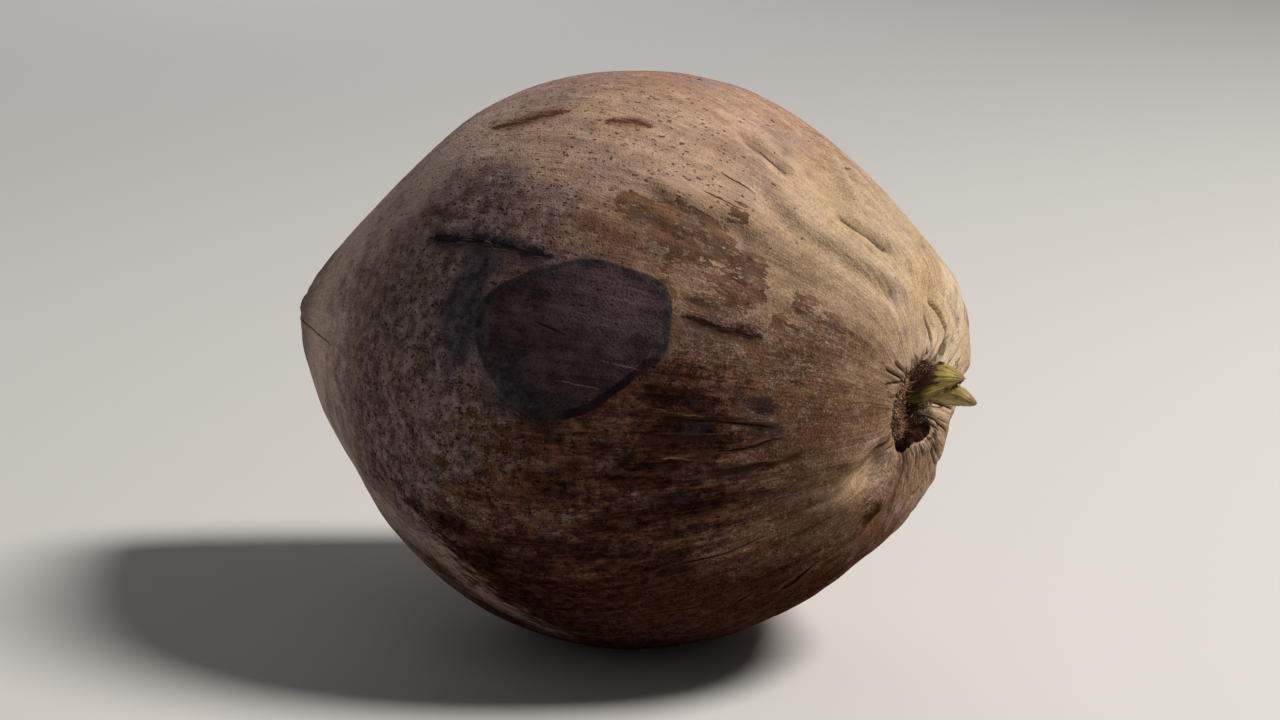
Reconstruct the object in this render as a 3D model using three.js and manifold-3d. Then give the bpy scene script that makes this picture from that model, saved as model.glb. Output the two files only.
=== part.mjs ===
// A ripe coconut still in its husk, lying on its side, with a short green shoot
// pushing out of the pit at its stem end. Millimetres, +Z up.
// The long axis of the nut runs along X: the stem end with its pit faces +X, the
// pointed apex with its knob faces -X. The nut rests on a small flat spot at z = 0,
// and the origin is at the bottom centre of the whole part.
import * as THREE from "three";
import { mergeVertices } from "three/addons/utils/BufferGeometryUtils.js";
import Module from "manifold-3d";

const wasm = await Module();
wasm.setup();

// ---- driving dimensions, mm ---------------------------------------------------
const AXIS_HEIGHT = 98.9; // long axis above the flat spot
const AXIS_X = 23.2; // nut's own centre, in X, from the origin
const AXIS_Y = -0.04;
const PIT_POLE = { y: -5, reach: 14 }; // the pit sits this far to one side, degrees
const SCAR = {
  // shallow torn scar left by the stalk
  depth: 1.8,
  y: -4.6,
  z: 0,
  profile: [
    // [distance from its centre, share of the depth]
    [0, 1],
    [14.5, 1],
    [16, 0.8],
    [17.5, 0.5],
    [20, 0.28],
    [25, 0.1],
    [31, 0],
  ],
};
const HOLLOW = {
  // deeper hole in the scar that the shoot grows out of
  depth: 13,
  y: -1.2,
  z: 1.6,
  profile: [
    [0, 1],
    [7.2, 1],
    [8.8, 0.85],
    [10, 0.5],
    [11.2, 0.22],
    [13, 0.06],
    [15, 0],
  ],
};
const KNOB_PROFILE = [
  // [radius, height above the cone that carries the knob]
  [8.2, 0.8],
  [7.0, 2.0],
  [6.4, 3.3],
  [5.6, 4.6],
  [4.2, 5.5],
  [2.2, 6.1],
  [0, 6.3],
];
const KNOB_SHIFT = [-1.27, 1.7]; // Y and Z offset of the knob's tip
const APEX_SHIFT = [1.78, 0.06]; // Y and Z offset of the pointed end
const MERIDIANS = 80;
const GAP = 0.35; // air between neighbouring pieces

// Smooth radius of the nut from its centre, against the angle from +X, in degrees.
const POLAR_DEG = [0, 12, 25, 40, 55, 70, 85, 100, 115, 130, 145, 156, 165, 172, 176.5];
const POLAR_R = [103.74, 105.71, 108.19, 101.83, 99.07, 99.44, 101.12, 103.26, 107.2, 111.83, 119.08, 129.5, 141.96, 154.99, 163.63];
// Out-of-round terms: once, twice and three times round the axis. The threefold one
// gives the three blunt ridges of a husk.
const ONCE = [-0.0083, 0.0093, 0.027, 0.0086];
const TWICE = [0.0066, 0.0035, -0.0134, -0.0225];
const THRICE = [0.0218, 0.0094, -0.0123, 0.0129];
// Broad swellings and hollows: direction from the centre, spread in degrees, height.
const SWELLINGS = [
  [0.906, 0.416, 0.073, 14, 2.29],
  [0.906, 0.408, -0.109, 14, -4.74],
  [0.906, 0.242, -0.346, 14, 3.33],
  [0.887, 0.080, -0.455, 14, -4.38],
  [0.643, -0.067, -0.763, 14, 1.22],
  [0.342, -0.243, -0.908, 14, -1.58],
  [0.087, -0.341, -0.936, 14, 0.07],
  [-0.131, -0.419, -0.899, 14, -0.18],
  [-0.383, -0.530, -0.757, 14, 0.75],
  [-0.574, -0.579, -0.579, 14, -0.21],
  [-0.737, -0.553, -0.388, 14, -0.01],
  [-0.887, -0.195, 0.418, 14, 1.21],
  [-0.574, -0.142, 0.807, 14, 1.67],
  [-0.383, -0.081, 0.920, 14, -0.52],
  [-0.174, 0.086, 0.981, 14, 0.15],
  [0.087, 0.173, 0.981, 14, 0.39],
  [0.342, 0.321, 0.883, 14, 0.08],
  [0.609, 0.397, 0.687, 14, -1.60],
  [0.866, 0.354, 0.354, 14, -0.97],
  [-0.997, -0.055, 0.055, 7, 0.65],
  [-0.995, -0.101, -0.027, 7, 0.73],
  [-0.940, -0.296, -0.171, 7, 1.89],
  [-0.707, -0.542, -0.455, 7, 0.92],
];

// ---- curves -------------------------------------------------------------------
const rad = THREE.MathUtils.degToRad;

// A smooth curve through (t[i], v[i]).
function through(t, v) {
  const n = t.length;
  const h = [];
  const d = [];
  for (let i = 0; i < n - 1; i++) {
    h.push(t[i + 1] - t[i]);
    d.push((v[i + 1] - v[i]) / h[i]);
  }
  const m = new Array(n).fill(0);
  for (let i = 1; i < n - 1; i++)
    m[i] = (d[i - 1] * h[i] + d[i] * h[i - 1]) / (h[i - 1] + h[i]);
  m[0] = 1.5 * d[0] - 0.5 * m[1];
  m[n - 1] = 1.5 * d[n - 2] - 0.5 * m[n - 2];
  return (x) => {
    let i = 0;
    while (i < n - 2 && x >= t[i + 1]) i++;
    const u = (x - t[i]) / h[i];
    return (
      v[i] * (1 + 2 * u) * (1 - u) ** 2 +
      h[i] * m[i] * u * (1 - u) ** 2 +
      v[i + 1] * u * u * (3 - 2 * u) +
      h[i] * m[i + 1] * u * u * (u - 1)
    );
  };
}

const polarRadius = through(POLAR_DEG.map(rad), POLAR_R);
const swellings = SWELLINGS.map(([x, y, z, spread, height]) => ({
  dir: new THREE.Vector3(x, y, z).normalize(),
  spread: rad(spread),
  height,
}));

// How far a sunk round feature goes down at (y, z).
function sunk({ depth, y: cy, z: cz, profile }, y, z) {
  const r = Math.hypot(y - cy, z - cz);
  if (r >= profile[profile.length - 1][0]) return 0;
  let i = 0;
  while (r >= profile[i + 1][0]) i++;
  const [r0, s0] = profile[i];
  const [r1, s1] = profile[i + 1];
  return depth * (s0 + ((s1 - s0) * (r - r0)) / (r1 - r0));
}

// Point of the nut's skin before the pit is sunk: phi from +X, theta from +Z
// towards -Y, about the nut's own centre.
function skin(phi, theta) {
  const s = Math.sin(phi);
  const c = Math.cos(phi);
  const wave = (k, [a, b], [e, f]) =>
    (a + 2 * c * e) * Math.cos(k * theta) + (b + 2 * c * f) * Math.sin(k * theta);
  const round =
    1 +
    s * wave(1, ONCE.slice(0, 2), ONCE.slice(2)) +
    s * s * wave(2, TWICE.slice(0, 2), TWICE.slice(2)) +
    s * s * wave(3, THRICE.slice(0, 2), THRICE.slice(2));
  const r = polarRadius(phi) * round;
  const p = new THREE.Vector3(
    r * c,
    -r * s * Math.sin(theta),
    r * s * Math.cos(theta),
  );
  const tip = Math.exp(-(((Math.PI - phi) / rad(16)) ** 2));
  p.y += APEX_SHIFT[0] * tip;
  p.z += APEX_SHIFT[1] * tip;
  const dir = p.clone().normalize();
  let lift = 0;
  for (const b of swellings) {
    const a = Math.acos(THREE.MathUtils.clamp(dir.dot(b.dir), -1, 1));
    lift += b.height * Math.exp(-(a * a) / (2 * b.spread * b.spread));
  }
  return p.addScaledVector(dir, lift);
}

// ---- solids -------------------------------------------------------------------
function solidOf(geometry) {
  const g = geometry.index ? geometry.toNonIndexed() : geometry;
  const bare = new THREE.BufferGeometry().setAttribute(
    "position",
    g.getAttribute("position"),
  );
  const merged = mergeVertices(bare, 1e-3);
  const all = merged.index.array;
  const tris = [];
  for (let i = 0; i < all.length; i += 3) {
    const [a, b, c] = [all[i], all[i + 1], all[i + 2]];
    if (a !== b && b !== c && a !== c) tris.push(a, b, c);
  }
  return new wasm.Manifold(
    new wasm.Mesh({
      numProp: 3,
      vertProperties: merged.attributes.position.array,
      triVerts: new Uint32Array(tris),
    }),
  );
}

function geometryOf(solid) {
  const m = solid.getMesh();
  const n = m.numProp;
  const v = new Float32Array(m.numVert * 3);
  for (let i = 0; i < m.numVert; i++)
    v.set(m.vertProperties.subarray(i * n, i * n + 3), i * 3);
  return new THREE.BufferGeometry()
    .setAttribute("position", new THREE.BufferAttribute(v, 3))
    .setIndex(new THREE.BufferAttribute(m.triVerts, 1))
    .toNonIndexed();
}

// Turned outline whose rows are then pushed to the places that place(row, theta)
// gives, so that it stays one closed surface.
function pushedLathe(rows, segments, place) {
  const outline = rows.map(
    (_, j) => new THREE.Vector2(j === 0 || j === rows.length - 1 ? 0 : 1, j),
  );
  const g = new THREE.LatheGeometry(outline, segments);
  const pos = g.getAttribute("position");
  for (let i = 0; i <= segments; i++)
    for (let j = 0; j < rows.length; j++) {
      const p = place(rows[j], ((i % segments) * 2 * Math.PI) / segments, j);
      pos.setXYZ(i * rows.length + j, p.x, p.y, p.z);
    }
  return g;
}

// Round limb along a curve: stations are [x, y, z, radius across Y, radius across Z],
// and both ends are closed by domes.
function limb(stations, segments) {
  const curve = new THREE.CatmullRomCurve3(
    stations.map(([x, y, z]) => new THREE.Vector3(x, y, z)),
    false,
    "centripetal",
  );
  const steps = (stations.length - 1) * 4;
  const at = (k) => {
    const u = k / steps;
    const f = u * (stations.length - 1);
    const i = Math.min(Math.floor(f), stations.length - 2);
    const w = f - i;
    const mix = (c) => stations[i][c] * (1 - w) + stations[i + 1][c] * w;
    return { p: curve.getPoint(u), t: curve.getTangent(u), ry: mix(3), rz: mix(4) };
  };
  const rows = [];
  const first = at(0);
  const last = at(steps);
  for (const a of [0, 30, 60])
    rows.push({ ...first, bulge: -Math.cos(rad(a)), size: Math.sin(rad(a)) });
  for (let k = 0; k <= steps; k++) rows.push({ ...at(k), bulge: 0, size: 1 });
  for (const a of [60, 30, 0])
    rows.push({ ...last, bulge: Math.cos(rad(a)), size: Math.sin(rad(a)) });
  return pushedLathe(rows, segments, (row, theta) => {
    const side = new THREE.Vector3(0, 1, 0);
    const over = new THREE.Vector3().crossVectors(row.t, side).normalize();
    side.crossVectors(over, row.t).normalize();
    return row.p
      .clone()
      .addScaledVector(row.t, row.bulge * Math.min(row.ry, row.rz))
      .addScaledVector(side, -Math.sin(theta) * row.ry * row.size)
      .addScaledVector(over, Math.cos(theta) * row.rz * row.size);
  });
}

// ---- husk ---------------------------------------------------------------------
const PHI_ROWS = [
  0, 1.6, 3.2, 4.8, 5.8, 6.7, 7.7, 8.8, 9.9, 11.5, 13.7, 16.5, 20, 24.5, 30, 36,
  42.5, 49, 56, 63, 70, 77, 84, 91, 98, 105, 112, 119, 126, 133, 140, 146.5, 152.5,
  158, 163, 167.5, 171.5, 174.5, 176.5,
];
const huskRows = [
  ...PHI_ROWS.map((deg) => ({ phi: rad(deg) })),
  ...KNOB_PROFILE.map(([radius, height]) => ({ radius, height })),
].reverse();
const ringEnd = [];
for (let i = 0; i < MERIDIANS; i++)
  ringEnd.push(skin(rad(176.5), (i * 2 * Math.PI) / MERIDIANS));
const ringCentre = ringEnd
  .reduce((a, b) => a.add(b), new THREE.Vector3())
  .divideScalar(MERIDIANS);
const KNOB_HEIGHT = KNOB_PROFILE[KNOB_PROFILE.length - 1][1];

const huskGeometry = pushedLathe(huskRows, MERIDIANS, (row, theta) => {
  if (row.phi === undefined) {
    const edge = skin(rad(176.5), theta).sub(ringCentre);
    edge.x = 0;
    const share = row.height / KNOB_HEIGHT;
    return edge
      .multiplyScalar(row.radius / 10)
      .add(ringCentre)
      .add(
        new THREE.Vector3(-row.height, KNOB_SHIFT[0] * share, KNOB_SHIFT[1] * share),
      );
  }
  const p = skin(row.phi, row.phi === 0 ? 0 : theta);
  p.y += PIT_POLE.y * Math.exp(-((row.phi / rad(PIT_POLE.reach)) ** 2));
  if (p.x > 0) p.x -= sunk(SCAR, p.y, p.z) + sunk(HOLLOW, p.y, p.z);
  return p;
});

// ---- shoot --------------------------------------------------------------------
// Spear: the pointed young leaf. Sheath: the scale leaf hooded over it, open below.
const SPEAR = [
  [103.6, -0.4, 4.7, 2.0, 2.0],
  [108, -0.3, 5.0, 3.0, 3.0],
  [112, -0.2, 5.0, 3.5, 3.5],
  [116, -0.1, 5.0, 3.3, 3.3],
  [119.7, 0, 4.5, 2.6, 2.7],
  [122, 0, 3.7, 1.7, 1.7],
  [123.4, 0, 3.4, 0.95, 0.95],
];
const SHEATH = [
  [92.7, -0.9, 2.4, 3.4, 3.4],
  [96.5, -0.8, 3.0, 3.3, 3.3],
  [101, -0.6, 4.0, 3.5, 3.5],
  [105, -0.4, 5.6, 4.5, 4.6],
  [109, -0.2, 7.9, 6.1, 6.3],
  [112.5, -0.1, 9.2, 5.3, 5.4],
  [116, 0, 10.1, 3.5, 3.2],
  [118.6, 0, 10.6, 1.6, 1.2],
];
const MOUTH = { x: 109.6, z: 3.8, slope: 36, length: 4.9 }; // lower lip runs up this line
const spear = solidOf(limb(SPEAR, 20));
const socket = solidOf(
  limb(
    SPEAR.map(([x, y, z, a, b], i) => [
      i === 0 ? x - GAP : x,
      y,
      z,
      a + GAP,
      b + GAP,
    ]),
    20,
  ),
);
// Everything below the sloping lip of the hood is cut away, in front of its stem.
const mouth = new THREE.BoxGeometry(40, 40, 20).toNonIndexed();
mouth.translate(20 - MOUTH.length, 0, -10);
mouth.rotateY(-rad(MOUTH.slope));
mouth.translate(MOUTH.x, 0, MOUTH.z);
const sheath = solidOf(limb(SHEATH, 24)).subtract(socket).subtract(solidOf(mouth));
const oneBody = (s) =>
  s.decompose().sort((a, b) => b.volume() - a.volume())[0];

// ---- materials and assembly ---------------------------------------------------
const huskSkin = new THREE.MeshStandardMaterial({
  color: new THREE.Color(0.42, 0.3, 0.21),
  roughness: 0.82,
  metalness: 0,
});
const sheathGreen = new THREE.MeshStandardMaterial({
  color: new THREE.Color(0.52, 0.56, 0.2),
  roughness: 0.5,
  metalness: 0,
});
const spearGreen = new THREE.MeshStandardMaterial({
  color: new THREE.Color(0.55, 0.5, 0.2),
  roughness: 0.5,
  metalness: 0,
});

const nut = new THREE.Group();
nut.position.set(AXIS_X, AXIS_Y, AXIS_HEIGHT);

// The flat spot is the plane z = 0 cut across the belly.
const husk = new THREE.Mesh(
  geometryOf(solidOf(huskGeometry).trimByPlane([0, 0, 1], -AXIS_HEIGHT)),
  huskSkin,
);
husk.name = "husk";
nut.add(husk);

const sheathMesh = new THREE.Mesh(geometryOf(oneBody(sheath)), sheathGreen);
sheathMesh.name = "shoot_sheath";
nut.add(sheathMesh);

const spearMesh = new THREE.Mesh(geometryOf(spear), spearGreen);
spearMesh.name = "shoot_spear";
nut.add(spearMesh);

const part = new THREE.Group();
part.name = "coconut";
part.add(nut);

export default part;
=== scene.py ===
import math

import bpy
import numpy as np
from mathutils import Matrix, Vector
from mathutils.bvhtree import BVHTree


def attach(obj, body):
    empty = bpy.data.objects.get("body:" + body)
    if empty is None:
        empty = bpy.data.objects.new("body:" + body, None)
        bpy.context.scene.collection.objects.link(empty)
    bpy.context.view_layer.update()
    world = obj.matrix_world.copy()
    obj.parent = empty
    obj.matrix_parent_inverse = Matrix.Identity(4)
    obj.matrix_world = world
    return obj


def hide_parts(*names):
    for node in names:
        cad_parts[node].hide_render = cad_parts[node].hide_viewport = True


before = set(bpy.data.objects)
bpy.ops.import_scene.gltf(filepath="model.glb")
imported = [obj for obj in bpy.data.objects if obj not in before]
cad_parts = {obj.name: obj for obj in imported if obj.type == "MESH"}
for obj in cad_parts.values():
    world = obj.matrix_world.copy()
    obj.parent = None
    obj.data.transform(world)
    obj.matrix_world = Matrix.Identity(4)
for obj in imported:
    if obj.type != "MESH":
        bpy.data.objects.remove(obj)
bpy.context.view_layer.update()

CENTRE = np.array([23.2, -0.04, 98.9])  # the nut's own centre in the row frame
FLOOR = -98.9  # the surface it rests on
MERIDIANS = 400

# ---------------------------------------------------------------- the nut's smooth form
POLAR_DEG = [0, 12, 25, 40, 55, 70, 85, 100, 115, 130, 145, 156, 165, 172, 176.5]
POLAR_R = [103.74, 105.71, 108.19, 101.83, 99.07, 99.44, 101.12, 103.26, 107.2, 111.83, 119.08, 129.5, 141.96, 154.99, 163.63]
ONCE = [-0.0083, 0.0093, 0.027, 0.0086]
TWICE = [0.0066, 0.0035, -0.0134, -0.0225]
THRICE = [0.0218, 0.0094, -0.0123, 0.0129]
SWELLINGS = [
    (0.906, 0.416, 0.073, 14, 2.29), (0.906, 0.408, -0.109, 14, -4.74), (0.906, 0.242, -0.346, 14, 3.33),
    (0.887, 0.080, -0.455, 14, -4.38), (0.643, -0.067, -0.763, 14, 1.22), (0.342, -0.243, -0.908, 14, -1.58),
    (0.087, -0.341, -0.936, 14, 0.07), (-0.131, -0.419, -0.899, 14, -0.18), (-0.383, -0.530, -0.757, 14, 0.75),
    (-0.574, -0.579, -0.579, 14, -0.21), (-0.737, -0.553, -0.388, 14, -0.01), (-0.887, -0.195, 0.418, 14, 1.21),
    (-0.574, -0.142, 0.807, 14, 1.67), (-0.383, -0.081, 0.920, 14, -0.52), (-0.174, 0.086, 0.981, 14, 0.15),
    (0.087, 0.173, 0.981, 14, 0.39), (0.342, 0.321, 0.883, 14, 0.08), (0.609, 0.397, 0.687, 14, -1.60),
    (0.866, 0.354, 0.354, 14, -0.97), (-0.997, -0.055, 0.055, 7, 0.65), (-0.995, -0.101, -0.027, 7, 0.73),
    (-0.940, -0.296, -0.171, 7, 1.89), (-0.707, -0.542, -0.455, 7, 0.92),
]
APEX_SHIFT = (1.78, 0.06)
PIT_SHIFT = (-5.0, 14.0)
KNOB = [(10.0, 0.0), (9.3, 0.25), (8.6, 0.6), (7.9, 1.1), (7.3, 1.7), (6.95, 2.3), (6.6, 2.9), (6.25, 3.5), (5.85, 4.1),
        (5.3, 4.75), (4.6, 5.3), (3.6, 5.75), (2.5, 6.05), (1.2, 6.25), (0.0, 6.3)]
KNOB_SHIFT = (-1.27, 1.7)


def knots(tk, vk, t):
    """A smooth curve through (tk, vk)."""
    tk, vk = np.asarray(tk, float), np.asarray(vk, float)
    h = np.diff(tk)
    d = np.diff(vk) / h
    m = np.zeros(len(tk))
    m[1:-1] = (d[:-1] * h[1:] + d[1:] * h[:-1]) / (h[:-1] + h[1:])
    m[0], m[-1] = 1.5 * d[0] - 0.5 * m[1], 1.5 * d[-1] - 0.5 * m[-2]
    i = np.clip(np.searchsorted(tk, t, side="right") - 1, 0, len(h) - 1)
    u = (t - tk[i]) / h[i]
    return (vk[i] * (1 + 2 * u) * (1 - u) ** 2 + h[i] * m[i] * u * (1 - u) ** 2
            + vk[i + 1] * u * u * (3 - 2 * u) + h[i] * m[i + 1] * u * u * (u - 1))


def skin(phi, theta):
    """The nut's skin: phi from +X, theta from +Z towards -Y."""
    s, c = np.sin(phi), np.cos(phi)

    def wave(k, a, b, e, f):
        return (a + 2 * c * e) * np.cos(k * theta) + (b + 2 * c * f) * np.sin(k * theta)

    f = 1 + s * wave(1, *ONCE) + s * s * wave(2, *TWICE) + s * s * wave(3, *THRICE)
    r = knots(np.radians(POLAR_DEG), POLAR_R, phi) * f
    p = np.stack([r * c, -r * s * np.sin(theta), r * s * np.cos(theta)], -1)
    tip = np.exp(-(((np.pi - phi) / math.radians(16)) ** 2))
    p[..., 1] += APEX_SHIFT[0] * tip
    p[..., 2] += APEX_SHIFT[1] * tip
    n = p / np.linalg.norm(p, axis=-1, keepdims=True)
    lift = np.zeros(n.shape[:-1])
    for x, y, z, spread, height in SWELLINGS:
        v = np.array([x, y, z])
        a = np.arccos(np.clip(n @ (v / np.linalg.norm(v)), -1, 1))
        lift += height * np.exp(-(a**2) / (2 * math.radians(spread) ** 2))
    return p + n * lift[..., None]


def smooth(lo, hi, x):
    t = np.clip((x - lo) / (hi - lo), 0, 1)
    return t * t * (3 - 2 * t)


def bell(x, w):
    return np.exp(-((x / w) ** 2))


def lattice(ix, iy, iz, seed):
    h = (ix * 374761393 + iy * 668265263 + iz * 1103515245 + seed * 974634777) & 0xFFFFFFFF
    h = ((h ^ (h >> 13)) * 1274126177) & 0xFFFFFFFF
    return h ^ (h >> 16)


def noise(p, seed=0):
    """Gradient noise of points, about -1 to 1."""
    p = np.asarray(p, float)
    i = np.floor(p).astype(np.int64)
    f = p - i
    u = f * f * f * (f * (f * 6 - 15) + 10)
    out = np.zeros(p.shape[:-1])
    for dx in (0, 1):
        for dy in (0, 1):
            for dz in (0, 1):
                h = lattice(i[..., 0] + dx, i[..., 1] + dy, i[..., 2] + dz, seed)
                g = ((h & 1023) / 511.5 - 1) * (f[..., 0] - dx)
                g += (((h >> 10) & 1023) / 511.5 - 1) * (f[..., 1] - dy)
                g += (((h >> 20) & 1023) / 511.5 - 1) * (f[..., 2] - dz)
                w = (u[..., 0] if dx else 1 - u[..., 0]) * (u[..., 1] if dy else 1 - u[..., 1]) * (u[..., 2] if dz else 1 - u[..., 2])
                out += g * w
    return out * 1.2


def fbm(p, octaves=4, seed=0, gain=0.5):
    p = np.asarray(p, float)
    total, amp, out = 0.0, 1.0, 0.0
    for k in range(octaves):
        out = out + amp * noise(p * 2.03**k + 17.3 * k, seed + k)
        total += amp
        amp *= gain
    return out / total


# ---------------------------------------------------------------- the camera, and places named by a pixel
AZIMUTH, ELEVATION, LENS = math.radians(34.789), math.radians(12.801), 85.0
BACK = np.array([math.sin(AZIMUTH) * math.cos(ELEVATION), -math.cos(AZIMUTH) * math.cos(ELEVATION), math.sin(ELEVATION)])
RIGHT = np.array([math.cos(AZIMUTH), math.sin(AZIMUTH), 0.0])
UP = np.cross(BACK, RIGHT)
EYE = BACK * 1077.42 + RIGHT * -10.343 + UP * 1.892
FOCAL = LENS / 36.0 * 1280.0

ph, th = np.meshgrid(np.radians(np.linspace(0, 176.5, 150)), np.linspace(0, 2 * np.pi, 181), indexing="ij")
pts = skin(ph, th)
pts[..., 1] += PIT_SHIFT[0] * np.exp(-((np.degrees(ph) / PIT_SHIFT[1]) ** 2))
quads = [[i * 181 + j, i * 181 + j + 1, (i + 1) * 181 + j + 1, (i + 1) * 181 + j] for i in range(149) for j in range(180)]
SMOOTH_NUT = BVHTree.FromPolygons([Vector(p) for p in pts.reshape(-1, 3)], quads)


def at(px, py):
    """The place on the smooth nut that the camera sees at a pixel of a 1280 x 720 frame. Just past the outline, the nearest place to the ray."""
    ray = RIGHT * (px - 640) / FOCAL + UP * (360 - py) / FOCAL - BACK
    ray = Vector(ray / np.linalg.norm(ray))
    found = SMOOTH_NUT.ray_cast(Vector(EYE), ray)[0]
    if found is None:
        best = None
        for k in range(200):
            q = Vector(EYE) + ray * (960 + k * 1.5)
            near, _, _, gap = SMOOTH_NUT.find_nearest(q)
            if best is None or gap < best[1]:
                best = (near, gap)
        found = best[0]
    return np.array(found)


def curve_at(pixels, step=1.5):
    """A smooth line on the nut through pixels."""
    p = np.array([at(*q) for q in pixels])
    t = np.concatenate([[0], np.cumsum(np.linalg.norm(np.diff(p, axis=0), axis=1))])
    if len(p) == 2:
        n = max(2, int(t[-1] / step))
        line = p[0] + (p[1] - p[0]) * np.linspace(0, 1, n)[:, None]
    else:
        u = np.linspace(0, t[-1], max(4, int(t[-1] / step)))
        line = np.stack([knots(t, p[:, c], u) for c in range(3)], -1)
    return np.array([np.array(SMOOTH_NUT.find_nearest(Vector(q))[0]) for q in line])


def on_skin(phi, theta):
    """A place on the nut from angles in degrees."""
    return skin(np.radians(phi), np.radians(theta))


def curve_on(angles, step=1.5):
    """A smooth line on the nut through (phi, theta) in degrees."""
    a = np.array(angles, float)
    t = np.linspace(0, 1, len(a))
    u = np.linspace(0, 1, 60)
    if len(a) > 2:
        phi, theta = knots(t, a[:, 0], u), knots(t, a[:, 1], u)
    else:
        phi, theta = np.interp(u, t, a[:, 0]), np.interp(u, t, a[:, 1])
    return on_skin(phi, theta)

# ---------------------------------------------------------------- a short way to write shader nodes
class Val:
    """A number in a material: arithmetic on it adds Math nodes."""

    def __init__(self, mat, socket):
        self.m, self.s = mat, socket

    def __add__(self, o):
        return self.m.math("ADD", self, o)

    __radd__ = __add__

    def __sub__(self, o):
        return self.m.math("SUBTRACT", self, o)

    def __rsub__(self, o):
        return self.m.math("SUBTRACT", o, self)

    def __mul__(self, o):
        return self.m.math("MULTIPLY", self, o)

    __rmul__ = __mul__

    def __truediv__(self, o):
        return self.m.math("DIVIDE", self, o)

    def __neg__(self):
        return self.m.math("MULTIPLY", self, -1.0)


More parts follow.
